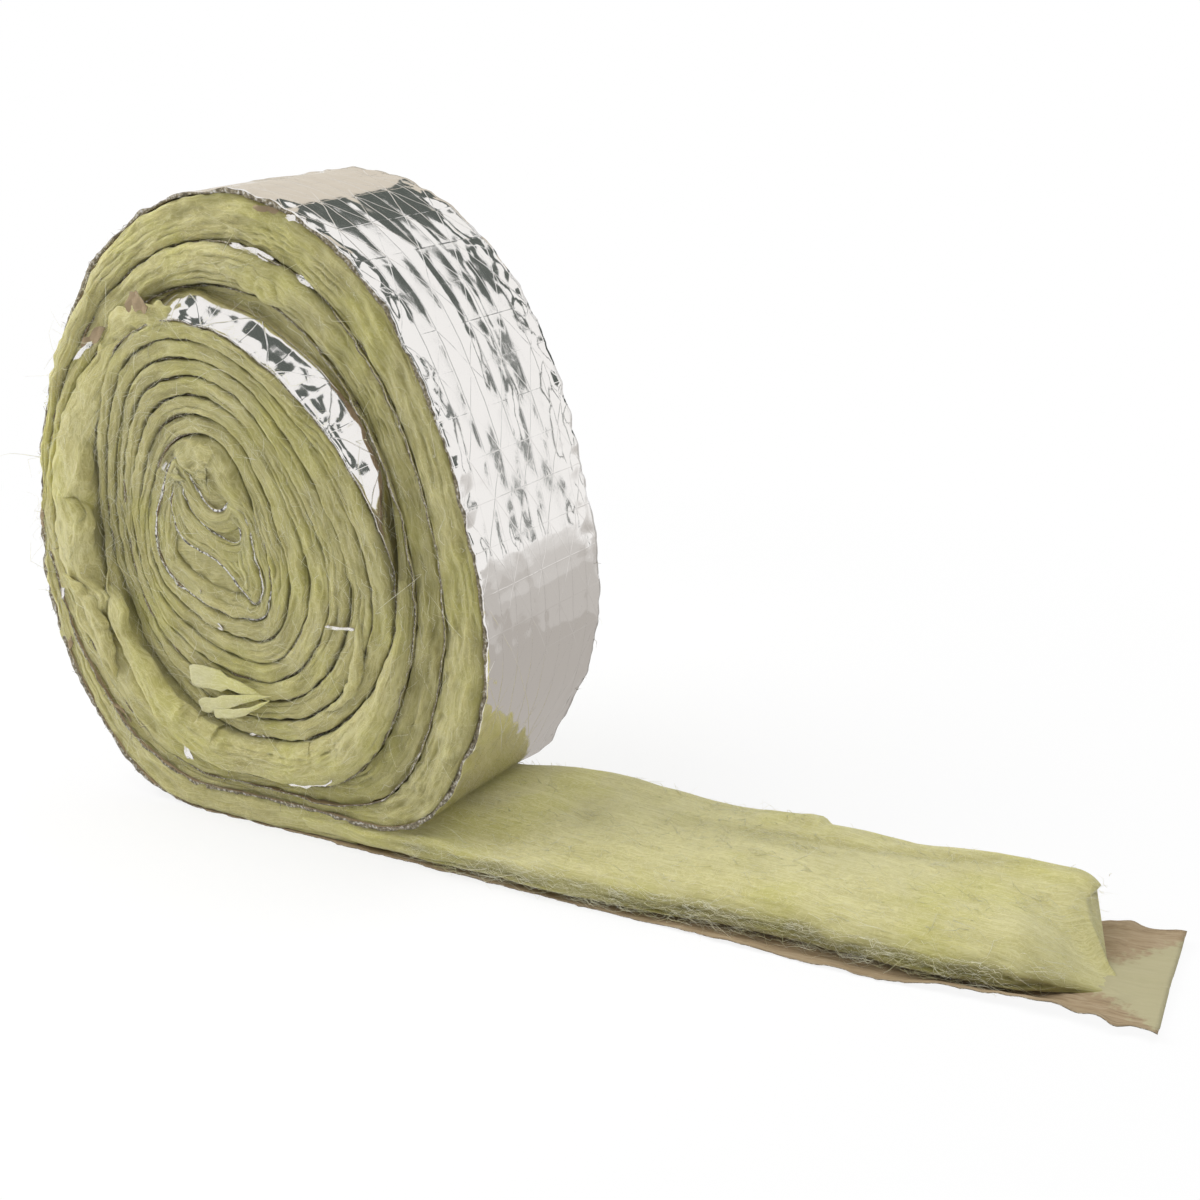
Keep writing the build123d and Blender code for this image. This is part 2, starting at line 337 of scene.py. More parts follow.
def skin(name, rings, lay, sides=None, tone=None):
    """One closed mesh from closed rings of points: quads between neighbouring rings and a
    polygon on each end. lay holds the strip's own coordinates for a UV map, with one more
    column than the ring, sides a material number for each column, and tone the painted shade
    at each point, from 0 to 1, kept as the attribute deep, which darkens the wool's colour."""
    count, size, _ = rings.shape
    quads = net(count, size, closed=True)
    i, j = grid(np.arange(count - 1), np.arange(size))
    uv_quads = np.stack([lay[i, j], lay[i, j + 1], lay[i + 1, j + 1], lay[i + 1, j]], 2)
    uv_quads = uv_quads.reshape(-1, 4, 2)
    a, b, c, d = rings.reshape(-1, 3)[quads].transpose(1, 0, 2)
    volume = (np.cross(b - a, c - a) * a).sum() + (np.cross(c - a, d - a) * a).sum()
    ends = [np.arange(size)[::-1], (count - 1) * size + np.arange(size)]
    uv_ends = [lay[0, :size][::-1], lay[-1, :size]]
    if volume < 0:
        quads, uv_quads = quads[:, ::-1], uv_quads[:, ::-1]
        ends, uv_ends = [end[::-1] for end in ends], [end[::-1] for end in uv_ends]
    piece = new_piece(name, rings, quads.tolist() + [end.tolist() for end in ends])
    mesh = piece.data
    chart = mesh.uv_layers.new(name="lay")
    chart.data.foreach_set("uv", np.concatenate([uv_quads.reshape(-1, 2), *uv_ends])
                           .astype(np.float32).ravel())
    if sides is not None:
        slots = np.r_[np.tile(sides, count - 1), 0, 0].astype(np.int32)
        mesh.polygons.foreach_set("material_index", slots)
    mesh.polygons.foreach_set("use_smooth", np.ones(len(mesh.polygons), bool))
    # The attribute deep holds painted shade, which darkens the wool's colour.
    if tone is not None:
        deep = mesh.attributes.new("deep", "FLOAT", "POINT")
        deep.data.foreach_set("value", np.clip(tone, 0, 1).astype(np.float32).ravel())
    mesh.update()
    return piece


def threads(name, root, way, lift, long, thick, seed, stations=5):
    """Many thin threads as one mesh. Each is a three-sided tube along a bent line: root, plus
    the way times its length, plus an arch along the lift and a random sideways curl."""
    near, far, floor_height = -77, 62, 0.4
    rng = np.random.default_rng(seed)
    count = len(root)
    share = np.linspace(0, 1, stations)[None, :, None]
    long = long[:, None, None]
    curl = rng.normal(size=(count, 1, 3)) * (long * 0.22)
    second = rng.normal(size=(count, 1, 3)) * (long * 0.10)
    line = (root[:, None] + way[:, None] * long * share + lift[:, None] * np.sin(share * 2.2)
            + curl * share ** 2 + second * np.sin(share * 7))
    line[..., 1] = np.clip(line[..., 1], near, far)
    line[..., 2] = np.maximum(line[..., 2], floor_height)
    run = np.gradient(line, axis=1)
    run /= np.maximum(np.linalg.norm(run, axis=2, keepdims=True), 1e-6)
    side = np.cross(run, np.array([0.31, 0.67, 0.42]))
    side /= np.maximum(np.linalg.norm(side, axis=2, keepdims=True), 1e-6)
    up = np.cross(run, side)
    width = thick[:, None, None] * (1 - 0.75 * share ** 2) * 0.5
    verts = np.stack([line + width * (np.cos(turn) * side + np.sin(turn) * up)
                      for turn in np.radians([90, 210, 330])], 2)
    base = np.arange(count)[:, None] * stations * 3
    quads = (base[:, None] + net(stations, 3, closed=True)[None]).reshape(-1, 4)
    first, last = base + [2, 1, 0], base + (stations - 1) * 3 + [0, 1, 2]
    return new_piece(name, verts, quads.tolist() + first.tolist() + last.tolist())


# ------------------------------------------------------------------------- the wool blanket

# How far the loose wraps' cut edges stand out of the face, and how much painted shade lies on
# them, painted light where it is below zero, at every 45 degrees round the roll from its right,
# counterclockwise: the first, the second and the last wrap. Then how far the first wrap's torn
# edge hangs over the coil, by height.
WRAP_PUFF = np.array([(-1, -4, -3, 3, 8, 7.5, 5, 5, 1), (-4, -3, 3, 0, 3, 0, -2, -3, -4),
                      (-1, -2, -3, 4, 2, -4, -4, -1, -1)])
WRAP_SHADE = np.array([(5, 4.5, 2, 0, -0.5, -0.5, -1, -0.5, 5), (5, 3.5, 0.5, 1.0, 0, 1, 2, 4, 5),
                       (1.5, 2, 1.0, -3, -2, 0, 1, 2, 1.5)]) * 0.1
HANGS = [(30, 2), (45, 5), (60, 2), (76, 4), (92, 0), (107, 8), (120, -5), (138, 1), (157, 7),
         (168, -3), (185, 4), (205, 1), (225, 5), (250, 3)]
NEAR_SEED, FAR_SEED = 11, 31
FAR_SHARE = 0.4


def by_wrap(rows, run, here):
    """A table's value at each distance: read round the roll for each wrap and faded from wrap
    to wrap; nothing in the tight coil or on the floor."""
    one, two, three = (np.interp(bearing(here), np.arange(0, 361, 45), row) for row in rows)
    first = rise(run, COIL_END - 20, COIL_END + 70)
    second = rise(run, FIRST_WRAP_END - 40, FIRST_WRAP_END + 40)
    third = rise(run, LAST_WRAP - 40, LAST_WRAP + 40)
    out = one * first * (1 - second) + two * second * (1 - third) + three * third
    return out * (1 - rise(run, FLOOR - 90, FLOOR))


def cut_face(run, share, depth, extra, seed):
    """How far the cut wool stands out between two turns: a rounded arch over the layer's depth
    plus the wrap's own stand-out, uneven along the strip, split into thin leaves that stand
    out by different amounts with slits between them. Here and there the groove between
    two layers has closed. Second, the painted shade of each point: darker in the grooves
    between layers and in the slits, lighter on the rough lumps and where the wrap puffs out."""
    spot = points(run, share * depth)
    line = spot * (1, 0)
    flat = 4.6 - 1.6 * rise(run, COIL_END - 150, COIL_END + 60)
    arch = (1 - np.abs(2 * share - 1) ** flat) ** 0.7
    closed = rise(drift(line, 26, seed + 12), -0.1, 0.6)
    arch = arch + (1 - arch) * 0.35 * closed * rise(arch, 0.1, 0.6)
    swell = (0.2 + 0.14 * depth + 1.1 * drift(line, 33, seed) + 0.5 * drift(line, 12, seed + 5))
    clumps = (drift(spot * (0.5, 1), 7, seed + 1) * 0.9
              + drift(spot * (0.45, 1), 3.6, seed + 2) * 0.7)
    strands = (drift(spot * (0.22, 1), 1.9, seed + 3) * 0.34
               + drift(spot * (0.5, 1), 1.4, seed + 4) * 0.36)
    leaf = (share * depth / 3.4 + 0.8 * drift(line, 55, seed + 6)
            + 0.55 * drift(spot * (0.12, 1), 7, seed + 7))
    own = drift(points(run * 0.03, np.floor(leaf) * 3.7), 1.0, seed + 8)
    within = np.abs(2 * (leaf % 1) - 1)
    slit = rise(within, 0.70, 1.0) * rise(drift(spot * (0.07, 0.5), 4, seed + 9), -0.1, 0.7)
    rough = clumps * (0.45 + 0.04 * depth) + strands + own * 0.55
    puffed, pressed = np.maximum(extra, 0), np.minimum(extra, 0)
    out = arch * (swell + puffed) + pressed * arch ** 0.5
    out = out + rough * (0.35 + 0.65 * arch) - 1.1 * slit * (0.3 + 0.7 * arch)
    groove = 0.85 * (1 - arch) ** 1.5 * (1 - 0.5 * closed)
    return out, 0.05 + groove + 0.42 * slit - 0.15 * rough - 0.035 * puffed


def wool_between(name, low, high, columns):
    """A length of the wound blanket: rings across the layer, with many points over each cut
    face, pressed between the facing and the turn inside it. Torn edges of the loose wraps
    hang over: the crest of the cut face moves sideways while its foot stays. Past the roll
    both faces sink into the free end's wool."""
    ring_step = 1.9
    run = np.arange(low, high, ring_step)
    here, way, into = on_line(run)
    depth = room_inside(run)
    front = 0.5 - 0.5 * np.cos(np.linspace(0.13, np.pi - 0.13, columns))
    back = front[:: max(columns // 8, 1)][::-1]
    share = np.r_[front, 1.0, 1.0, back, 0.0, 0.0]
    cut = np.r_[-np.ones(columns), -0.96, 0.96, np.ones(len(back)), 0.96, -0.96]
    at_near, at_face = cut == -1, np.abs(cut) == 1
    runs, shares = grid(run, share)
    depths = depth[:, None] * np.ones_like(shares)
    extra = by_wrap(WRAP_PUFF, run, here)[:, None] * np.where(cut < 0, 1, FAR_SHARE)
    near, near_painted_shade = cut_face(runs, shares, depths, extra, NEAR_SEED)
    far, far_painted_shade = cut_face(runs, shares, depths, extra, FAR_SEED)
    begun = rise(run, COIL_END, COIL_END + 30)
    first_wrap = begun * (1 - rise(run, FIRST_WRAP_END + 60, FIRST_WRAP_END + 160))
    hang = read(HANGS, here[:, 1]) * rise(-here[:, 0], 0, 45) * first_wrap
    near = near + np.maximum(hang, 0)[:, None] * 0.35 * rise(shares, 0.3, 0.8)
    fade = 1 - 0.8 * rise(run, FLOOR, FLOOR + 80)[:, None]
    sink = 2.4 * rise(run, FLOOR + 30, FLOOR + 98)[:, None]
    near, far = near * fade - sink, far * fade - 1.4 * sink
    y = cut * HALF - lean(here, run)[:, None] + np.where(cut < 0, -near, far) * at_face
    left_side = rise(bearing(here), 110, 150) * (1 - rise(bearing(here), 225, 255))
    lips = left_side * rise(run, COIL_END, COIL_END + 60) * 2.6
    uneven = 0.35 + 0.8 * drift(run[:, None], 21, 52) + 0.5 * drift(run[:, None], 6, 53)
    lips = ((lips + 0.75) * np.maximum(uneven, 0))[:, None] * at_near * (1 - shares) ** 2
    crest = at_near * rise(shares, 0.3, 0.78) * (1 - rise(shares, 0.93, 1.0))
    deep_in = FACING + 0.5 + shares * (depths - FACING - 0.5)
    deep_in = deep_in + at_face * 0.5 * drift(points(runs, shares * depths), 5, 51)
    deep_in = deep_in - lips + hang[:, None] * crest
    flat = here[:, None] + into[:, None] * deep_in[..., None]
    rings = points(flat[..., 0], y, np.maximum(flat[..., 1], 0.3))
    # Painted shade: each cut face's own from cut_face, more by wrap round the roll and over the
    # whole tight coil; the points along the facings get a flat 0.85.
    coil_painted_shade = 0.16 * (1 - rise(run, COIL_END - 20, COIL_END + 40))
    shade = (by_wrap(WRAP_SHADE, run, here) + coil_painted_shade)[:, None]
    deep = np.where(at_face, np.where(cut < 0, near_painted_shade, far_painted_shade) + shade, 0.85)
    return skin(name, rings, lay_round(run, rings), tone=deep)


def core_wad():
    """The wool that fills the folds of the core: rings across an oval, from an uneven front
    just behind the strip's cut edges to the same at the back."""
    middle, half_width, half_height = (MIDDLE_X - 25, MIDDLE_Z + 9), 34, 41
    up = np.linspace(-1, 1, 72)
    high = np.r_[up, up[::6][::-1]]
    side = np.r_[-np.ones(72), np.ones(12)]
    across, heights = grid(np.linspace(-0.985, 0.985, 64), high)
    tall = np.sqrt(1 - across ** 2) * heights
    flat = points(middle[0] + half_width * across, middle[1] + half_height * tall)
    sunk = (0.8 + 1.0 * drift(flat, 9, 41) + 0.6 * drift(flat * (0.6, 1), 4, 42)
            + 0.4 * drift(flat, 1.9, 43) + 2.5 * rise(np.hypot(across, tall), 0.85, 1.0))
    leaned = lean(flat.reshape(-1, 2), np.zeros(across.size)).reshape(across.shape)
    rings = points(flat[..., 0], side * (HALF - sunk) - leaned, flat[..., 1])
    lay = np.concatenate([flat, flat[:, :1]], 1) * 0.001
    # The tone is painted shade: the further the wool sinks behind the cut edges, the darker.
    return skin("core_wool", rings, lay, tone=0.12 + 0.16 * sunk)


# The free end's wool in plan, in pairs of x and y: its near edge, its end as pairs of y and x,
# and the crease that runs along it. Then its height along the near crest and the far edge, and
# under the roll.
NEAR_EDGE = [(100, -51.5), (160, -50.5), (205, -48.5), (240, -43.5), (278, -41), (366, -39.5),
             (395, -34), (411, -25), (424, -16), (438, -4)]
END_EDGE = [(-50, 438), (-4, 438), (8, 428), (20, 416), (34, 408), (50, 403)]
CREASE = [(60, -22), (127, -10), (215, 17), (300, 26), (362, 40), (400, 44)]
NEAR_CREST = [(60, 13), (100, 16), (172, 15.5), (238, 16.5), (290, 18.5), (340, 16.5),
              (390, 15), (432, 5)]
FAR_CREST = [(60, 13), (76, 17), (100, 23), (124, 26), (161, 26.5), (208, 24), (235, 25),
             (262, 29.5), (270, 29.5), (272.5, 26), (318, 25), (345, 28), (360, 30), (406, 32)]
UNDER_ROLL = [(60, 14.4), (67, 17.6), (85, 23), (97, 27.5), (105, 31.5), (118, 44)]
FREE_START, FREE_LENGTH, MIDDLE_TOP = -30, 462, 24.5


def wool_on_floor():
    """The free end's wool: rings across the strip, each a square with rounded corners, low at
    the near crest, full in the middle and raised in a fold at the far edge, softly lumpy,
    torn back from the facing's near edge and thinned out into a tongue at its end."""
    share = np.linspace(0, 1, 300)
    u, t = grid(share, np.linspace(-np.pi, np.pi, 141)[:-1])
    c, s = np.cos(t), np.sin(t)
    across, high = np.sign(c) * np.abs(c) ** 0.34, np.sign(s) * np.abs(s) ** 0.48
    first = FREE_START + u * FREE_LENGTH
    near = read(NEAR_EDGE, first) + 0.8 * drift(points(first, 0), 19, 60)
    near = near + 3.0 * (1 - rise(first, 5, 60))
    far = HALF - 0.8 + 0.9 * drift(points(first, 0), 23, 59)
    y = 0.5 * (far + near) + across * 0.5 * (far - near)
    stop = read(END_EDGE, y)
    x = FREE_START + u * (stop - FREE_START)
    spot = points(x, y)
    top = (MIDDLE_TOP + drift(spot * (0.45, 1), 34, 61) * 1.3
           + drift(spot * (0.5, 1), 16, 62) * 0.8)
    top = top + (read(NEAR_CREST, x) - MIDDLE_TOP) * rise(-y, 8, 46) ** 1.2
    top = top + (read(FAR_CREST, x) - MIDDLE_TOP) * rise(y, 30, 45)
    crease = np.exp(-((y - read(CREASE, x)) / 4.5) ** 2) * rise(x, 70, 130)
    top = top - 2.6 * crease * (0.75 + 0.5 * drift(spot * (1, 0), 70, 64))
    top = top + drift(spot * (0.4, 1), 6.5, 63) * 0.3
    tongue = rise(x, stop - 50, stop - 2) * rise(-y, -26, 2)
    top = np.minimum(top * (1 - 0.93 * tongue), read(UNDER_ROLL, x))
    z = 0.5 * (top + FACING) + high * (top - FACING) * 0.5
    place = points(x, y, z)
    side = 1 - high ** 2
    near_side = side * (c < 0)
    fluff = (drift(place * (0.3, 1, 1), 6, 65) * 0.45 + drift(place * (0.15, 1, 1), 2.8, 66) * 0.35
             + drift(place * (0.12, 1, 1), 1.5, 67) * 0.16)
    leaf = (z / 4.2 + 0.7 * drift(place * (1, 0, 0), 60, 58)
            + 0.4 * drift(place * (0.2, 1, 1), 9, 57))
    low = near_side * (1 - rise(high, 0.05, 0.5))
    slit = rise(np.abs(2 * (leaf % 1) - 1), 0.6, 1.0) * low
    slit = slit * rise(drift(place * (0.1, 1, 1), 5, 56), -0.5, 0.4)
    own = drift(points(x * 0.03, np.floor(leaf) * 3.7), 1.0, 55) * low
    lifted = fluff * rise(high, -0.6, 0.2) * (0.45 + 1.0 * side)
    z = np.where(high > -0.9, z + lifted, z)
    swell = drift(place * (0.5, 0, 1), 10, 68) * 1.7 * side
    y = y + np.where(c > 0, 1, -1) * (swell + fluff * side * 2.0) + 1.8 * slit - 1.3 * own
    torn_end = (drift(points(y, z), 7, 69) * 2.4 + 6 * rise(z, 14, 29)
                * np.exp(-((y - 45) / 8) ** 2) - 3 * rise(-z, -16, -4) * rise(y, 10, 40))
    x = x + rise(u, 0.93, 1.0) * torn_end
    tuck = np.clip((u - 0.975) / 0.025, 0, 1) ** 2
    z = FACING + (z - FACING) * (1 - 0.16 * tuck)
    y = y - tuck * 0.06 * (y - 5)
    rings = points(x, y, np.maximum(z, 0.45))
    # Painted shade: the near side darker, most low down and away from the roll, its slits darker,
    # lumps lighter, the end a little darker from x 120 mm on, and the crease on top darker.
    shaded = 0.62 * rise(-z, -18, 2) * rise(x, 10, 110) + 0.38 * rise(x, 70, 200)
    deep = (near_side * shaded + 0.5 * slit - 0.2 * fluff + 0.10 * rise(x, 120, 330)
            + 0.25 * crease * (high > 0.5))
    return skin("glass_wool_free_end", rings, lay_round(share * 460, rings), tone=deep)


def soft_leaf(name, corners, wide, out, thick, seed, tone=0.0):
    """A torn leaf or tuft of wool that lies against the face: a strip along a smoothed line in
    the face, cupped, and thick in the middle. A tuft is as wide as a power of a sine over its
    length, and a leaf under 1 mm thick is blunt at its start and pointed at its end."""
    line = rounded(corners, 0.75)
    reach = distances(line)
    u, v = np.linspace(0, 1, 46), np.linspace(-1, 1, 15)
    run = u * reach[-1]
    here = part_way(line, reach, run)
    up = inward(unit(np.gradient(here, axis=0)))
    hump = np.sin(np.pi * np.clip(u, 0.02, 0.98))
    outline = (hump ** 0.7 if thick > 1
               else read([(0, 0.75), (0.06, 1.0), (0.4, 0.9), (0.8, 0.4), (1, 0.03)], u))
    half = wide * outline * (1 + 0.22 * drift(u[:, None], 0.13, seed)
                             + min(thick, 2.5) * 0.12 * drift(u[:, None], 0.045, seed + 5))
    flat = here[:, None] + (v * half[:, None])[..., None] * up[:, None]
    body = (1 - v ** 2) ** 0.6 * hump[:, None] ** 0.5
    spot = points(run[:, None], v * wide)
    rough = (0.22 * drift(spot * (0.5, 1), 3, seed + 1)
             + 0.16 * drift(spot * (0.6, 1), 1.6, seed + 3))
    base = (-HALF - out - 1.2 * np.sin(np.pi * u)[:, None] + thick * rough
            + 0.5 * drift(flat, 11, seed + 2))
    front = points(flat[..., 0], base - thick * body - 0.2, flat[..., 1])
    rear = points(flat[..., 0], base + 0.2, flat[..., 1])
    rings = np.concatenate([front, rear[:, ::-1]], 1)
    lay = lay_of(run, np.r_[v * wide, v[::-1] * wide, -wide])
    # tone is painted shade, the same over the whole leaf; values below zero are clipped to none.
    return skin(name, rings, lay, tone=tone + 0 * rings[..., 0])


def torn_flakes():
    """Thin leaves of torn, pressed wool low on the coil's face."""
    return [soft_leaf(*flake) for flake in (
        ("torn_flake_long", [(-45, 79), (-30, 80), (-12, 79), (6, 74)], 5.5, 4.0, 0.5, 5),
        ("torn_flake_low", [(-40, 63), (-24, 68), (-6, 74), (8, 77)], 4.0, 5.0, 0.5, 6),
        ("torn_flake_small", [(-30, 61), (-10, 65), (8, 75)], 2.4, 5.8, 0.5, 7))]


def wool_tufts():
    """Loose tufts of wool where the wraps are torn: a peak over the gap at the top, a hood over
    the coil's upper left, curled lips down the left side and a wisp at the lower right."""
    return [soft_leaf(*tuft) for tuft in (
        ("tuft_top", [(-14, 282), (2, 288), (18, 284), (40, 270)], 6.5, 0.5, 3.5, 15, -0.05),
        ("tuft_hood", [(-72, 246), (-52, 262), (-28, 262), (-8, 255)], 8.0, 9.5, 4.0, 16, -0.1),
        ("tuft_lip_high", [(-120, 172), (-106, 163), (-104, 150), (-116, 132)],
         4.2, 7.0, 4.0, 17, -0.1),
        ("tuft_lip_low", [(-122, 122), (-106, 112), (-98, 94), (-94, 70)],
         4.5, 7.0, 4.0, 18, -0.1),
        ("tuft_right", [(40, 74), (56, 84), (64, 104), (66, 130)], 3.4, 1.5, 2.4, 19, 0.0))]


# ------------------------------------------------------------------------------- the facing

FOIL_SIDE, KRAFT_SIDE, EDGE_SIDE = 0, 1, 2


def crumple(spot, seed):
    """How far the foil stands off its smooth line, never inwards: flat facets between the
    crossings of its yarns, larger flats over several of them, long folds along the strip,
    and small crumples near both edges."""
    u, v = spot[..., 0] / CROSSING % 1, (spot[..., 1] + HALF) / YARN % 1
    near, far = spot[..., 1] + HALF, HALF - spot[..., 1]
    small = facets(spot, CROSSING, YARN, seed) * 0.11
    pushed = spot + points(9 + 6 * drift(spot, 40, seed + 8), 0)
    large = facets(pushed, 3 * CROSSING, 2 * YARN, seed + 1) * 0.5
    slack = 5.6 * u * (1 - u) * v * (1 - v) * (0.5 + 0.5 * drift(spot, 30, seed + 9))
    flats = -0.5 * u * (1 - u) + slack
    folds = np.maximum(1 - np.abs(drift(spot * (0.14, 1), 9, seed + 2)) * 8, 0) * 0.5
    folds = folds * rise(drift(spot * (0.5, 1), 33, seed + 3), 0.1, 0.6)
    rim = np.maximum(1 - rise(near, 4, 15), 0.9 * (1 - rise(far, 4, 24)))
    bent = spot + 1.8 * wander(spot, 9, seed + 4)
    tight = (facets(bent, 8.0, 6.35, seed + 6) * 1.15
             + facets(bent + (3, 0), 4.2, 3.2, seed + 7) * 0.35)
    return np.maximum(1.1 + small + large + flats + folds + tight * rim, 0.06)


def show_of_edge(run, here):
    """How far the facing's cut edge stands out past the wool's: clearly in the core and on the
    roll's right, and only here and there in the tight coil, whose wool has closed over it."""
    way = bearing(here)
    core = 1 - rise(run, AT["bottom"][0] - 60, AT["bottom"][0] + 120)
    right = np.maximum(rise(-way, -80, -45), rise(way, 268, 300))
    loose = rise(run, COIL_END - 60, COIL_END + 60)
    slow, quick = drift(run[:, None], 27, 91), drift(run[:, None], 8, 92)
    inner = 1 - rise(run, AT["bottom"][3], AT["bottom"][4])
    upper_left = np.exp(-((way - 128) / 22) ** 2) * inner
    coil = -1.7 + 1.5 * slow + 1.0 * quick + 2.2 * upper_left
    wraps = -0.2 + 1.3 * slow + 0.7 * quick + 1.3 * right
    return core * 1.0 + (1 - core) * (coil * (1 - loose) + wraps * loose)


def foil_turns(name, low, high, inset, crushed):
    """A length of the wound facing before the last wrap: a thin closed ribbon, with crowded
    points at its two edges, where it is crushed to a given thickness. Under the crescent its
    edge slopes down from the wrap above in crumpled facets, which show as a bright band."""
    run = np.arange(low, high, 2.0)
    here, way, into = on_line(run)
    y0 = np.r_[-HALF + inset, HALF - inset[:-1][::-1]]
    runs, ys = grid(run, y0)
    edge = HALF - np.abs(ys)
    by_side, spot = points(runs, 50 * np.sign(ys)), points(runs, ys)
    ragged = (0.7 * drift(by_side, 6, 71) + 0.6 * drift(by_side, 2.7, 72)
              + show_of_edge(run, here)[:, None])
    right, top = AT["right"][TIGHT_TURNS], AT["top"][TIGHT_TURNS]
    show = rise(runs, right + 10, right + 70) * (1 - rise(runs, top + 40, top + 80))
    ragged = ragged * (1 - show) + show * (1.2 + 0.8 * drift(by_side, 6, 75))
    y = ys - lean(here, run)[:, None] + np.sign(ys) * ragged * (1 - rise(edge, 0, 6))
    wave = 0.5 * drift(by_side, 5.2, 73) + 0.3 * drift(spot, 9, 74)
    wave = wave * (1 - 0.85 * rise(edge, 0, 9))
    bent = spot + 2.5 * wander(spot, 10, 76)
    crush = facets(bent, 21, 12.0, 78) * 2.3 + facets(bent, 7.0, 5.0, 79) * 0.6
    slope = (CRESCENT + 1.0) * rise(edge, 0.5, 15) ** 0.8
    slope = slope + (1.2 + crush) * rise(edge, 0, 3) * (1 - rise(edge, 13, 20))
    wave = wave + show * np.maximum(slope, 0)
    outer = here[:, None] - into[:, None] * wave[..., None]
    thick = 0.40 + crushed * (1 - rise(edge, 0, 3)) * (0.6 + 0.7 * drift(by_side, 3.4, 78))
    inner = outer + into[:, None] * thick[..., None]
    rings = np.concatenate([points(outer[..., 0], y, outer[..., 1]),
                            points(inner[..., 0], y, inner[..., 1])[:, ::-1]], 1)
    gaps = len(y0) - 1
    sides = np.r_[np.full(gaps, FOIL_SIDE), EDGE_SIDE, np.full(gaps, KRAFT_SIDE), EDGE_SIDE]
    return skin(name, rings, lay_of(run, np.r_[y0, y0[::-1], y0[0]]), sides)


# How far the free end's near edge is torn in, by the distance from the roll's middle.
TORN_IN = [(60, 0), (290, 0.5), (340, 1.5), (380, 7), (400, 9), (434, 9.5), (465, 9.5)]


def foil_wrap():
    """The facing of the last wrap and of the free end: its foil side is crumpled, its kraft
    side runs smoothly on the wool. It is ragged at its edges, torn and lifted along
    the near edge of the free end, and cut off on a slant at the bare tab."""
    columns = 53
    run = np.r_[np.arange(LAST_WRAP, FLOOR, CROSSING / 12), np.arange(FLOOR, END, 2.5), END]
    here, way, into = on_line(run)
    fine = np.linspace(-HALF, HALF, columns)
    y0 = np.r_[fine, fine[::-1]]
    back = np.r_[np.zeros(columns), np.ones(columns)]
    runs, ys = grid(run, y0)
    edge = HALF - np.abs(ys)
    on_floor = rise(runs, FLOOR - 60, FLOOR + 10)
    by_side = points(runs, 40 * np.sign(ys))
    ragged = 0.8 * drift(by_side, 9, 81) + 0.6 * drift(by_side, 3.1, 82)
    y = ys + np.sign(ys) * (0.5 + ragged) * (1 - rise(edge, 0, 5))
    straight = runs - FLOOR + FLOOR_START
    spot = points(straight, ys)
    slant = TAB_SLANT * (-0.5 - ys / STRIP) * rise(straight, 400, TAB_END)
    bites = 1.2 * drift(by_side, 7, 89) * rise(straight, 330, 390) * (1 - rise(edge, 0, 9))
    y = np.where(ys < 0, y + read(TORN_IN, straight) * (ys / -HALF) + bites, y)
    off = np.where(back == 0, crumple(points(runs, ys), 83) * (1 - on_floor) + 0.02, 0)
    thick = (0.40 + 0.2 * (1 - rise(edge, 0, 3)) * (1 - on_floor)) * back
    line = here[:, None] + into[:, None] * (thick - off)[..., None]
    creases = np.maximum(1 - np.abs(drift(spot * (0.10, 1), 8, 84)) * 5, 0) * 1.1
    wavy = 1.0 + 1.0 * drift(spot * (0.5, 1), 20, 85)
    bend = rise(straight, 398, 425) * (creases + wavy)
    torn = rise(-ys, 38, 49) * rise(straight, 345, 395) * (1 - rise(straight, 432, 448))
    curl = torn * (3.0 + 3.0 * drift(by_side, 11, 88))
    curl = curl + (rise(-ys, 42, 50) * rise(straight, 180, 260)
                   * (1.0 + 1.0 * drift(by_side, 14, 90)))
    corner = rise(ys, 22, 51) * rise(straight, 405, 440) * (2.8 + 1.2 * drift(spot, 16, 87))
    raised = bend + curl + corner + rise(straight, 445, 466) * 1.5
    z = np.maximum(line[..., 1], 0) + (runs > FLOOR) * np.maximum(raised, 0)
    gaps = columns - 1
    sides = np.r_[np.full(gaps, FOIL_SIDE), EDGE_SIDE, np.full(gaps, KRAFT_SIDE), EDGE_SIDE]
    return skin("facing_wrap", points(line[..., 0] + slant, y, z),
                lay_of(run, np.r_[y0, y0[0]]), sides)


# Torn bits of facing on the face: x and z of the middle, length, width, turn in degrees, how
# far out of the face, and 0 for the foil side or 1 for the kraft side.
SCRAPS = [(-42, 268, 17, 9, 12, 15.5, 1), (-76, 249, 22, 4.5, 32, 11.0, 1),
          (-82, 243, 15, 2.5, 40, 12.4, 0), (20, 295, 21, 3.4, -16, 1.8, 0),
          (51, 283, 14, 3, -28, 1.2, 0), (64, 260, 7, 2.2, -50, 1.5, 0),
          (-27, 110, 15, 3.2, -18, 2.2, 0), (-33, 125, 5, 2, 40, 2.4, 0),
          (55, 121, 16, 1.8, 2, 3.0, 0), (-50, 207, 17, 2.6, 56, 5.0, 0),
          (-44, 192, 12, 2.0, 62, 3.5, 0), (-6, 52, 9, 1.8, -4, 2.5, 0),
          (-55, 36, 13, 4, -58, 3.5, 0), (27, 33, 32, 5.0, 18, 2.0, 0),
          (-13, 181, 10, 2.6, -35, 4.0, 0), (30, 314.5, 12, 3, -6, 0.3, 1),
          (46, 311, 9, 2.6, -12, 0.4, 0), (-119, 214, 22, 5, 62, 1.0, 0),
          (-127.5, 190, 16, 4, 74, 0.8, 1), (-108.5, 236, 18, 4, 54, 1.5, 0),
          (-96, 256, 13, 3, 44, 1.0, 1), (-137.5, 150, 12, 2.5, 88, 1.0, 1),
          (-131.5, 112, 12, 2.5, 92, 1.0, 0), (-133, 84, 12, 2.4, 104, 1.0, 1),
          (-101, 46, 12, 2.4, 128, 1.0, 1)]


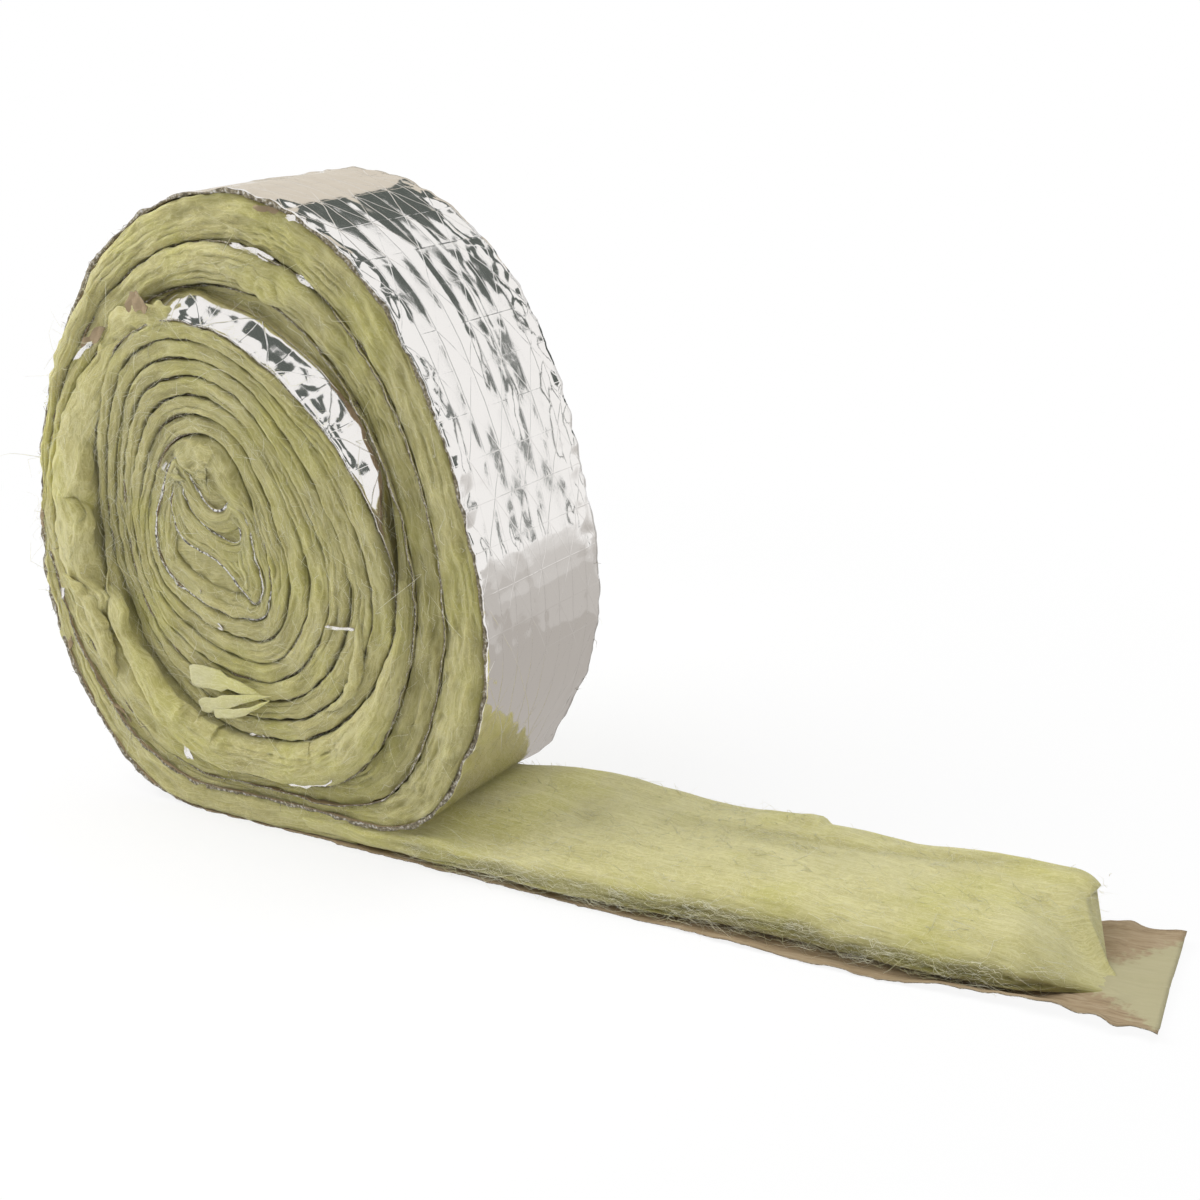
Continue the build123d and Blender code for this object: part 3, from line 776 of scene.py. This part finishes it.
def facing_scraps():
    """Small torn bits of facing, each a crumpled strip bent along its length: a front and a
    back of 13 by 6 points, and walls round its rim."""
    u, v = grid(np.linspace(-0.5, 0.5, 13), np.linspace(-0.5, 0.5, 6))
    size = u.size
    top = net(13, 6)
    rim = np.r_[np.arange(6), np.arange(11, 77, 6), np.arange(76, 71, -1), np.arange(66, 0, -6)]
    walls = points(rim, rim + size, np.roll(rim, -1) + size, np.roll(rim, -1))
    verts, quads, slots = [], [], []
    for number, (x, z, long, wide, turn, out, kraft_side) in enumerate(SCRAPS):
        sides = points(u, np.sign(v))
        width = wide * (1 - 0.6 * np.abs(2 * u) ** 5) * (
            1 + 0.5 * drift(sides, 0.17, number) + 0.25 * drift(sides, 0.07, number))
        frayed = (2 * u) ** 3 * 1.6 * drift(points(v, np.sign(u)), 0.3, number)
        a, b = u * long + frayed, v * width
        bow = (2.0 * np.sin(2.4 * u + number)
               + facets(points(a + 40 * number, b), 4.2, 2.6, number) * 1.1)
        cos, sin = np.cos(np.radians(turn)), np.sin(np.radians(turn))
        flat = points(x + a * cos - b * sin, -HALF - out - bow, z + a * sin + b * cos)
        verts += [flat.reshape(-1, 3), flat.reshape(-1, 3) + (0, 0.35, 0)]
        base = 2 * size * number
        quads += [top + base, top[:, ::-1] + size + base, walls[:, ::-1] + base]
        slots += [kraft_side] * len(top) + [1 - kraft_side] * len(top) + [EDGE_SIDE] * len(walls)
    piece = new_piece("facing_scraps", np.concatenate(verts), np.concatenate(quads).tolist())
    piece.data.uv_layers.new(name="lay")
    piece.data.polygons.foreach_set("material_index", np.array(slots, np.int32))
    piece.data.update()
    return piece


# --------------------------------------------------------------------------- stray fibres

def along_strip(count, low, high, seed):
    """Random distances along the strip in order, with the line's point, direction and way in."""
    rng = np.random.default_rng(seed)
    run = np.sort(rng.uniform(low, high, count)) + np.arange(count) * 1e-6
    here, ahead = on_line(run)[0], on_line(run + 2)[0]
    way = unit(ahead - here)
    return rng, run, here, way, inward(way)


def swung(way, into, tilt):
    """Directions in the roll's plane, turned from the strip's way inwards by a tilt."""
    return way * np.cos(tilt)[:, None] + into * np.sin(tilt)[:, None]


def fibre_widths(rng, count):
    """Random widths for stray fibres, with one in three about twice as thick."""
    return rng.uniform(0.09, 0.19, count) * rng.choice([1, 1, 1.9], count)


def fibres_on_face():
    """Stray fibres over the roll's two cut faces: rooted anywhere in the wool's layers, they
    lie mostly along the strip and arch a little way out."""
    count = 3600
    rng, run, here, along, into = along_strip(count, 20, FLOOR - 40, 5)
    depth = room_inside(run)
    share = rng.uniform(0.03, 0.97, count)
    front = rng.random(count) < 0.8
    face = np.where(front, -1.0, 1.0)
    flat = here + into * (share * depth)[:, None]
    puff = by_wrap(WRAP_PUFF, run, here) * np.where(front, 1, FAR_SHARE)
    out = cut_face(run, share, depth, puff, NEAR_SEED)[0]
    y = face * HALF - lean(here, run) + face * np.where(front, out - 0.3, 0.15 * depth)
    back = rng.choice([-1.0, 1.0], count)
    flat_way = swung(back[:, None] * along, into, rng.normal(0, 0.38, count))
    way = points(flat_way[:, 0], face * rng.normal(0.0, 0.06, count), flat_way[:, 1])
    outline = rise(run, LAST_WRAP - 20, LAST_WRAP + 40) * (1 - share)
    long = np.minimum(rng.gamma(3.0, 3.4, count) + 3, 24) * (1 - 0.6 * outline)
    lift = points(0, face * rng.gamma(2.0, 0.45, count), 0)
    return threads("stray_fibres_roll", points(flat[:, 0], y, flat[:, 1]),
                   way * (1 - 0.5 * outline)[:, None], lift, long, fibre_widths(rng, count), 6)


def fibres_on_free_end():
    """Stray fibres on the free end: mostly along the strip over its top and its near side."""
    rng = np.random.default_rng(8)
    count, middle_top = 2600, 24.0
    x = rng.uniform(80, 418, count)
    low = read(NEAR_EDGE, x) + 3
    y = low + (HALF - 8 - low) * rng.random(count)
    side = rng.random(count) < 0.4
    y = np.where(side, low - 3.5, y)
    end = rise(x, 385, 430) * rise(-y, -26, 4)
    top = (middle_top + (read(NEAR_CREST, x) - MIDDLE_TOP) * rise(-y, 8, 46) ** 1.2
           + (read(FAR_CREST, x) - MIDDLE_TOP) * rise(y, 30, 45))
    z = np.where(side, rng.uniform(2, 15, count), top * (1 - 0.86 * end) - 0.6)
    z = np.minimum(z, read([(60, 13), (85, 21), (105, 24), (120, 40)], x))
    tilt = rng.normal(0, 0.5, count)
    back = rng.choice([-1.0, 1.0], count)
    way = points(back * np.cos(tilt), np.sin(tilt) * np.where(side, 0.15, 1),
                 rng.normal(0, 0.03, count))
    lift = points(0, np.where(side, -1, 0) * rng.gamma(2, 0.5, count),
                  np.where(side, 0.1, 1) * rng.gamma(2.0, 0.4, count))
    long = np.minimum(rng.gamma(3.0, 2.8, count) + 3, 18)
    long = long * (1 - 0.5 * rise(y, 28, 44)) * (1 - 0.5 * rise(x, 395, 418))
    return threads("stray_fibres_free_end", points(x, y, z), way, lift, long,
                   fibre_widths(rng, count), 9)


def loose_threads():
    """A few long pale threads that hang in wide arcs over the roll's face."""
    count = 46
    rng, run, here, along, into = along_strip(count, 1500, FLOOR - 200, 15)
    flat = here + into * (rng.uniform(0.2, 0.8, count) * room_inside(run))[:, None]
    root = points(flat[:, 0], -HALF - lean(here, run) - 3.5, flat[:, 1])
    flat_way = swung(along, into, rng.normal(0, 0.8, count))
    lift = points(0, -rng.uniform(0.5, 2.5, count), -rng.uniform(0, 5, count))
    return threads("loose_threads", root, points(flat_way[:, 0], -0.05, flat_way[:, 1]), lift,
                   rng.uniform(18, 46, count), rng.uniform(0.22, 0.38, count), 16, stations=14)


def yarn_ends():
    """Short cut ends of the scrim's yarns and of torn facing, which stick out at its edges."""
    count = 520
    rng, run, here, along, into = along_strip(count, COIL_END - 400, FLOOR - 30, 25)
    face = np.where(rng.random(count) < 0.7, -1.0, 1.0)
    root = points(here[:, 0], face * (HALF - 0.5) - lean(here, run), here[:, 1])
    flat_way = swung(-into * 0.5, along, rng.normal(0, 1.0, count))
    way = points(flat_way[:, 0], face * rng.uniform(0.3, 1.0, count), flat_way[:, 1])
    return threads("yarn_ends", root, way, way * 0, rng.gamma(2.5, 0.7, count) + 0.5,
                   rng.uniform(0.2, 0.45, count), 26, stations=4)


# ---------------------------------------------------------------------------- the finishes

class Shading:
    """Short ways to build a node tree. Whatever feeds an input is a socket or a plain value."""

    def __init__(self, tree):
        self.tree = tree

    def feed(self, node, feeds):
        """Feeds inputs, which are given by name or by number."""
        for key, value in feeds.items():
            if isinstance(value, bpy.types.NodeSocket):
                self.tree.links.new(value, node.inputs[key])
            else:
                node.inputs[key].default_value = value

    def add(self, kind, feeds=None, **settings):
        """A new shader node with its settings made and its inputs fed."""
        node = self.tree.nodes.new("ShaderNode" + kind)
        for key, value in settings.items():
            setattr(node, key, value)
        self.feed(node, feeds or {})
        return node

    def place(self):
        """The Object coordinates."""
        return self.add("TexCoord").outputs["Object"]

    def along_strip(self):
        """The strip's own coordinates, from the UV map."""
        return self.add("UVMap", uv_map="lay").outputs["UV"]

    def split(self, vector):
        """The parts of a vector, by the names X, Y and Z."""
        return self.add("SeparateXYZ", {"Vector": vector}).outputs

    def fibres(self, streak_width, clump_size):
        """What the fibre group puts out, by name."""
        return self.add("Group", {"Streak width": streak_width, "Clump size": clump_size},
                        node_tree=FIBRES).outputs

    def noise(self, where, scale, detail, **feeds):
        """Noise from 0 to 1."""
        feeds.update({"Vector": where, "Scale": scale, "Detail": detail})
        return self.add("TexNoise", feeds).outputs["Fac"]

    def maths(self, operation, *feeds):
        """One sum with numbers."""
        return self.add("Math", dict(enumerate(feeds)), operation=operation).outputs["Value"]

    def highest(self, first, *others):
        """The highest of some values."""
        for value in others:
            first = self.maths("MAXIMUM", first, value)
        return first

    def step(self, value, low, high, bottom=0.0, top=1.0):
        """A smooth step from bottom to top, while the value goes from low to high."""
        feeds = {"Value": value, "From Min": low, "From Max": high,
                 "To Min": bottom, "To Max": top}
        return self.add("MapRange", feeds, interpolation_type="SMOOTHSTEP").outputs["Result"]

    def mix(self, share, under, over):
        """A plain colour laid over a coloured socket by a share."""
        return self.add("Mix", {0: share, 6: under, 7: (*over, 1)}, data_type="RGBA").outputs[2]

    def paint(self, mask, stops):
        """A colour ramp fed by a mask: stops are pairs of a place and a colour."""
        ramp = self.add("ValToRGB", {"Fac": mask})
        table = ramp.color_ramp
        while len(table.elements) < len(stops):
            table.elements.new(0.5)
        for element, (where, colour) in zip(table.elements, stops):
            element.position, element.color = where, (*colour, 1)
        return ramp.outputs["Color"]

    def bump(self, height, strength, distance, **feeds):
        """Normals bent by a height in metres, on top of those fed as Normal."""
        feeds.update({"Height": height, "Strength": strength, "Distance": distance})
        return self.add("Bump", feeds).outputs["Normal"]


def fibre_lay_group():
    """A shader group for fibres that lie along the strip. Noise stretched along the UV map's
    first axis gives streaks, a second one on a slant crosses them, and plain noise gives
    clumps. Single hairs are the thin lines along which three more noises pass their middle
    value. All of it comes out as masks and heights."""
    group = bpy.data.node_groups.new("Fibres along the strip", "ShaderNodeTree")
    for name, value in (("Streak width", 1500.0), ("Clump size", 90.0)):
        group.interface.new_socket(
            name=name, in_out="INPUT", socket_type="NodeSocketFloat").default_value = value
    for name in ("Streaks", "Clumps", "Height", "Hairs"):
        group.interface.new_socket(name=name, in_out="OUTPUT", socket_type="NodeSocketFloat")
    tools = Shading(group)
    source, sink = group.nodes.new("NodeGroupInput"), group.nodes.new("NodeGroupOutput")
    width, place = source.outputs["Streak width"], tools.place()
    stretched = tools.add("Mapping", {"Vector": tools.along_strip(), "Scale": (0.13, 1, 1)})
    bend = tools.add("TexNoise", {"Vector": place, "Scale": 90, "Detail": 2})
    bent = tools.add("VectorMath", {0: bend.outputs["Color"], 1: (0.0024, 0.0036, 0.0),
                                    2: stretched.outputs["Vector"]},
                     operation="MULTIPLY_ADD").outputs["Vector"]
    slanted = tools.add("Mapping", {"Vector": bent, "Rotation": (0, 0, 0.7), "Scale": (6, 1, 1)},
                        vector_type="TEXTURE").outputs["Vector"]
    streaks = tools.highest(tools.noise(bent, width, 4, Roughness=0.68),
                            tools.noise(slanted, width, 4, Roughness=0.68))
    clumps = tools.noise(place, source.outputs["Clump size"], 3, Roughness=0.55)
    height = tools.maths("MULTIPLY_ADD", tools.noise(place, 1200, 2, Distortion=2.4), 0.8, streaks)
    lines = []
    for where, fineness in ((bent, 520), (slanted, 460), (place, 260)):
        swirl = tools.noise(where, fineness, 1.5, Distortion=0.8)
        from_middle = tools.maths("ABSOLUTE", tools.maths("SUBTRACT", swirl, 0.5))
        lines.append(tools.step(from_middle, 0.032, 0.0))
    tools.feed(sink, {"Streaks": streaks, "Clumps": clumps, "Height": height,
                      "Hairs": tools.highest(*lines)})
    return group


FIBRES = fibre_lay_group()


def finish_named(name, **values):
    """A new material with its Principled shader's plain values set."""
    material = bpy.data.materials.new(name)
    material.use_nodes = True
    shader = material.node_tree.nodes["Principled BSDF"]
    for key, value in values.items():
        shader.inputs[key.replace("_", " ")].default_value = value
    return material, shader, Shading(material.node_tree)


def wool_finish(name, dark, middle, light, relief_share=0.55):
    """Yellow glass wool: fine streaks of pressed fibre over faint clumps and broad zones,
    darker and greener where the attribute deep paints shade, paler where single hairs stand
    loose, with a soft sheen and a little light passing through."""
    material, shader, tools = finish_named(
        name, Roughness=0.85, Sheen_Weight=0.25, Sheen_Roughness=0.6, Specular_IOR_Level=0.2,
        Subsurface_Weight=0.3, Subsurface_Scale=0.004, Subsurface_Radius=(1.0, 0.9, 0.35))
    fine, broad = tools.fibres(1300, 60), tools.fibres(420, 300)
    mask, total = fine["Streaks"], 1.0
    for more, weight in ((broad["Streaks"], 0.4), (fine["Clumps"], 0.35), (broad["Clumps"], 0.32)):
        mask, total = tools.maths("MULTIPLY_ADD", more, weight, mask), total + weight
    mask = tools.maths("DIVIDE", mask, total)
    colour = tools.paint(mask, [(0.43, dark), (0.53, middle), (0.63, light)])
    zones = tools.step(tools.noise(tools.place(), 24, 3), 0.46, 0.66, top=0.55)
    colour = tools.mix(zones, colour, (0.59, 0.56, 0.15))
    colour = tools.mix(tools.maths("MULTIPLY", fine["Hairs"], 0.5), colour,
                       [min(tone * 1.12, 0.9) for tone in light])
    # Painted shade: the attribute deep mixes the colour towards a dark olive.
    deep = tools.add("Attribute", attribute_name="deep").outputs["Fac"]
    colour = tools.mix(tools.maths("MULTIPLY", deep, 0.8), colour, (0.19, 0.17, 0.035))
    relief = tools.maths("ADD", fine["Height"], broad["Height"])
    relief = tools.maths("MULTIPLY_ADD", fine["Hairs"], 0.35, relief)
    tools.feed(shader, {"Base Color": colour, "Normal": tools.bump(relief, relief_share, 0.001)})
    return material


def foil_finish():
    """Bright foil over a net of glass yarns: fine ridges along the strip, across it and on two
    slants that meet at the crossings, with faint crinkles between them."""
    material, shader, tools = finish_named("Foil over scrim", Metallic=1.0, Roughness=0.09,
                                           Base_Color=(0.87, 0.845, 0.82, 1))
    lay, ridges, positive = tools.split(tools.along_strip()), [], 200
    # How many cells each way a ridge counts, how far apart ridges are, their width and height.
    for along, across, period, wide, high in ((0, 1, 0.5, 0.026, 0.6), (1, 0, 0.5, 0.018, 0.25),
                                              (1, 1, 1.0, 0.026, 0.45), (1, -1, 1.0, 0.026, 0.45)):
        cells = tools.maths("MULTIPLY_ADD", lay["Y"], across * 1000 / YARN,
                            across * HALF / YARN + positive)
        cells = tools.maths("MULTIPLY_ADD", lay["X"], along * 1000 / CROSSING, cells)
        from_yarn = tools.maths("PINGPONG", cells, period)
        ridges.append(tools.step(from_yarn, wide, 0.0, top=high))
    crinkle = tools.bump(tools.noise(tools.place(), 110, 3, Distortion=0.9), 0.06, 0.0012)
    tools.feed(shader, {"Normal": tools.bump(tools.highest(*ridges), 0.55, 0.00025,
                                             Normal=crinkle)})
    return material


def kraft_finish():
    """Brown kraft paper: fine fibre mottling drawn out along the strip, and a film of torn
    wool that widens over the bare tab from the wool's near corner."""
    material, shader, tools = finish_named("Kraft paper", Roughness=0.8, Specular_IOR_Level=0.25)
    fibres, place = tools.fibres(500, 240), tools.split(tools.place())
    paper = tools.paint(fibres["Streaks"], [(0.3, (0.20, 0.145, 0.085)),
                                            (0.5, (0.38, 0.285, 0.175)),
                                            (0.72, (0.50, 0.40, 0.27))])
    ragged = tools.maths("MULTIPLY_ADD", fibres["Clumps"], 0.035, place["Y"])
    near_line = tools.maths("MULTIPLY_ADD", place["X"], -1.1, ragged)
    far_line = tools.maths("MULTIPLY_ADD", place["X"], 0.75, ragged)
    film = tools.maths("MULTIPLY", tools.step(near_line, -0.433, -0.446),
                       tools.step(far_line, 0.321, 0.331))
    film = tools.maths("MULTIPLY", film, tools.step(place["X"], 0.395, 0.425))
    film = tools.maths("MULTIPLY", film, 0.8)
    tools.feed(shader, {"Base Color": tools.mix(film, paper, (0.50, 0.475, 0.29)),
                        "Normal": tools.bump(fibres["Height"], 0.5, 0.0008)})
    return material


def cut_edge_finish(name, dark, middle, bright, start, end):
    """The facing's cut edge: crushed foil that glints between bits of brown paper and glass.
    A fine noise gives the bits; past its start value they turn to metal, fully at its end."""
    material, shader, tools = finish_named(name, Roughness=0.35)
    bits = tools.noise(tools.place(), 620, 3)
    colour = tools.paint(bits, [(0.38, dark), (start - 0.02, middle), (end, bright)])
    tools.feed(shader, {"Base Color": colour, "Metallic": tools.step(bits, start, end),
                        "Normal": tools.bump(bits, 0.8, 0.0006)})
    return material


# --------------------------------------------------------------------------- putting it up

wool_yellow = wool_finish("Glass wool", (0.47, 0.42, 0.165), (0.60, 0.548, 0.235),
                          (0.73, 0.685, 0.36))
# A paler copy of the wool for the free end's top: partly its smoother face, partly painted light
# from above.
wool_top_painted_light = wool_finish("Glass wool, top face, painted light", (0.56, 0.515, 0.22), (0.66, 0.612, 0.285),
                        (0.75, 0.71, 0.39), 0.4)
fibre_yellow = wool_finish("Stray glass fibre", (0.66, 0.63, 0.34), (0.80, 0.77, 0.50),
                           (0.90, 0.88, 0.66))
flake_pale = wool_finish("Pressed glass wool", (0.58, 0.545, 0.26), (0.64, 0.60, 0.31),
                         (0.71, 0.675, 0.40), 0.3)
foil = foil_finish()
kraft = kraft_finish()
cut_edge = cut_edge_finish("Cut edge of facing", (0.10, 0.08, 0.045), (0.27, 0.23, 0.15),
                           (0.62, 0.60, 0.56), 0.56, 0.66)
crushed_edge = cut_edge_finish("Crushed foil edge", (0.06, 0.05, 0.04), (0.25, 0.23, 0.20),
                               (0.84, 0.83, 0.82), 0.46, 0.54)

wool_pieces = {wool_between("glass_wool_coil", 0.5, COIL_END + 2, 26): wool_yellow,
               wool_between("glass_wool_wraps", COIL_END, FLOOR + 100, 38): wool_yellow,
               core_wad(): wool_yellow, wool_on_floor(): wool_top_painted_light, fibres_on_face(): fibre_yellow,
               fibres_on_free_end(): fibre_yellow, loose_threads(): fibre_yellow}
wool_pieces.update({flake: flake_pale for flake in torn_flakes()})
wool_pieces.update({tuft: wool_yellow for tuft in wool_tufts()})
for piece, finish in wool_pieces.items():
    piece.data.materials.append(finish)
    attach(piece, "root")
    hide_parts("wool_blanket")

# Where the facing is parted into pieces, and how far in from its edges its points lie.
core_end, wraps_start = AT["bottom"][0] + 30, AT["bottom"][TIGHT_TURNS] - 30
few = np.array([0, 0.8, 1.8, 3.4, 6.5, HALF])
many = np.array([0, 0.8, 1.7, 2.9, 4.3, 6, 7.8, 9.8, 12, 14.5, 18, 24, HALF])
for piece, finishes in (
        (foil_turns("facing_core", 0, core_end, few, 1.0), (foil, kraft, crushed_edge)),
        (foil_turns("facing_coil", core_end, wraps_start, few, 0.4), (foil, kraft, cut_edge)),
        (foil_turns("facing_inner_wraps", wraps_start, LAST_WRAP + 12, many, 0.45),
         (foil, kraft, cut_edge)),
        (foil_wrap(), (foil, kraft, cut_edge)), (facing_scraps(), (foil, kraft, cut_edge)),
        (yarn_ends(), (cut_edge,))):
    for finish in finishes:
        piece.data.materials.append(finish)
    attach(piece, "root")
    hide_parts("foil_facing")

# ---------------------------------------------------------------------- floor, light, camera

def plain_background(tools, surface, white):
    """Shows plain white to the camera and in gloss, and the given surface to all else."""
    path = tools.add("LightPath").outputs
    seen = tools.highest(path["Is Camera Ray"], path["Is Glossy Ray"],
                         path["Is Transmission Ray"])
    return tools.add("MixShader", {0: seen, 1: surface, 2: white}).outputs["Shader"]


bpy.ops.mesh.primitive_plane_add(size=60, location=(0, 0, -0.0002))
floor = bpy.context.object
floor.name = "floor"
floor_material, floor_shader, tools = finish_named(
    "Pale floor", Roughness=0.9, Specular_IOR_Level=0.1, Base_Color=(0.93, 0.93, 0.93, 1))
matte = floor_shader.outputs["BSDF"]
glow = tools.add("Emission", {"Strength": 1.0}).outputs["Emission"]
away = tools.add("VectorMath", {0: tools.place()}, operation="LENGTH").outputs["Value"]
whiter = tools.step(away, 0.1, 0.75, bottom=0.72)
lit = tools.add("MixShader", {0: whiter, 1: matte, 2: glow}).outputs["Shader"]
tools.feed(floor_material.node_tree.nodes["Material Output"],
           {"Surface": plain_background(tools, matte, lit)})
floor.data.materials.append(floor_material)

world = bpy.data.worlds.new("Studio")
bpy.context.scene.world = world
world.use_nodes = True
tools = Shading(world.node_tree)
dim = world.node_tree.nodes["Background"]
tools.feed(dim, {"Color": (1, 1, 1, 1), "Strength": 0.42})
bright = tools.add("Background", {"Color": (1, 1, 1, 1), "Strength": 1.0})
tools.feed(world.node_tree.nodes["World Output"], {"Surface": plain_background(
    tools, dim.outputs["Background"], bright.outputs["Background"])})


def put_card(name, verts, quads, colour):
    """A card with a plain even colour that lights nothing and shows only in gloss."""
    card = new_piece(name, verts, quads.tolist())
    paper, _, tools = finish_named(name)
    even = tools.add("Emission", {"Color": (*colour, 1)})
    tools.feed(paper.node_tree.nodes["Material Output"], {"Surface": even.outputs["Emission"]})
    card.data.materials.append(paper)
    card.visible_camera = card.visible_diffuse = False
    card.visible_shadow = card.visible_transmission = False


def studio_card(name, rows, colour):
    """A card out of the picture that only the foil mirrors: a patch of a large ball round the
    set. Each row gives a turn clockwise from the back, and the lowest and the highest tilt
    above the floor there, in degrees."""
    radius, centre, columns, steps = 3000, (0, 0, 100), 25, 9
    turn, low, high = np.array(rows, float).T
    across = np.linspace(turn[0], turn[-1], columns)
    share = np.linspace(0, 1, steps)
    lowest, highest = (np.interp(across, turn, edge)[:, None] for edge in (low, high))
    tilt = np.radians(lowest * (1 - share) + highest * share)
    around = np.radians(across)[:, None]
    verts = radius * points(np.sin(around) * np.cos(tilt), np.cos(around) * np.cos(tilt),
                            np.sin(tilt))
    put_card(name, verts + centre, net(columns, steps)[:, ::-1], colour)


DARK, WARM, PAINTED_FLOOR_SHADE = (0.115, 0.13, 0.12), (0.74, 0.68, 0.585), (0.50, 0.475, 0.45)
STUDIO = [([(-27.5, 29, 44), (-12, 29, 43), (-6, 29, 41), (1, 29, 38)], DARK),
          ([(4, 31, 40.2), (9, 30, 39.6), (16, 26, 37.9), (23, 21, 33.2), (27, 18, 29)], DARK),
          ([(29.5, 15, 24.5), (33, 9, 16.8), (36, 2, 8)], DARK),
          ([(34.4, -1.5, 7), (36.6, -1.5, 7)], DARK),
          ([(-60, 3, 28), (-36, 3, 36), (-27.5, 3, 44)], WARM),
          ([(-27.4, 3, 28.8), (-14, 3, 28.8)], WARM), ([(-13, -1, 12), (4, -1, 12)], DARK),
          ([(58, 14, 52), (88, 14, 52)], DARK), ([(96, 40, 64), (112, 40, 64)], DARK),
          ([(117, 12, 50), (130, 12, 50)], DARK), ([(134, 60, 76), (205, 60, 76)], DARK),
          ([(150, 34, 54), (190, 34, 54)], DARK), ([(225, 46, 63), (268, 46, 63)], DARK),
          ([(20, 62, 80), (60, 62, 80)], DARK)]
for number, (rows, colour) in enumerate(STUDIO):
    studio_card(f"card_{number}", rows, colour)

# Strips that lie on the floor behind the free end and show only in the foil: painted shade of
# the floor, grey beside the free end and paler further back.
STRIPS, WHITE, LEFT_END, RIGHT_END = 6, 0.98, 50, 3000
strip_edges = [53.5] + [60 + 220 * number ** 1.3 for number in range(1, STRIPS + 1)]
for number, (near, far) in enumerate(zip(strip_edges, strip_edges[1:])):
    pale = [tone + (WHITE - tone) * number / STRIPS for tone in PAINTED_FLOOR_SHADE]
    corners = [(LEFT_END, near), (RIGHT_END, near), (RIGHT_END, far), (LEFT_END, far)]
    put_card(f"card_painted_floor_shade_{number}", np.c_[corners, np.full(4, 0.1)], np.array([[0, 1, 2, 3]]),
             pale)


def aimed(name, data, place, way):
    """A lamp or a camera put up at a place, looking along a way."""
    holder = bpy.data.objects.new(name, data)
    holder.location = place
    holder.rotation_mode = "QUATERNION"
    holder.rotation_quaternion = Vector(way).to_track_quat("-Z", "Y")
    bpy.context.scene.collection.objects.link(holder)
    return holder


def softbox(name, place, aim, wide, watts):
    """A square area light of a given width, turned from its place to the point it lights."""
    lamp = bpy.data.lights.new(name, "AREA")
    lamp.size, lamp.energy = wide, watts
    aimed(name, lamp, place, Vector(aim) - Vector(place)).visible_glossy = False


softbox("softbox_left", (-0.65, -0.3, 1.45), (0.0, 0, 0.15), 1.0, 10)
softbox("softbox_right", (0.55, 0.35, 1.5), (0.15, 0, 0.05), 1.0, 9)
softbox("softbox_front", (-0.72, -0.42, 0.72), (-0.05, 0, 0.15), 0.6, 4.2)

PHOTO_SIZE, FOCAL_PIXELS, SENSOR = 1200, 1911.6, 36
camera = bpy.data.cameras.new("camera")
camera.sensor_width = SENSOR
camera.lens = FOCAL_PIXELS / PHOTO_SIZE * SENSOR
camera.shift_x, camera.shift_y = -0.075, 0.1667
camera.clip_start, camera.clip_end = 0.01, 100
yaw, pitch = np.radians(-28.42), np.radians(24.31)
bpy.context.scene.camera = aimed("camera", camera, (0.6216, -0.7458, 0.4259), (
    np.sin(yaw) * np.cos(pitch), np.cos(yaw) * np.cos(pitch), -np.sin(pitch)))
bpy.context.scene.view_settings.view_transform = "Standard"
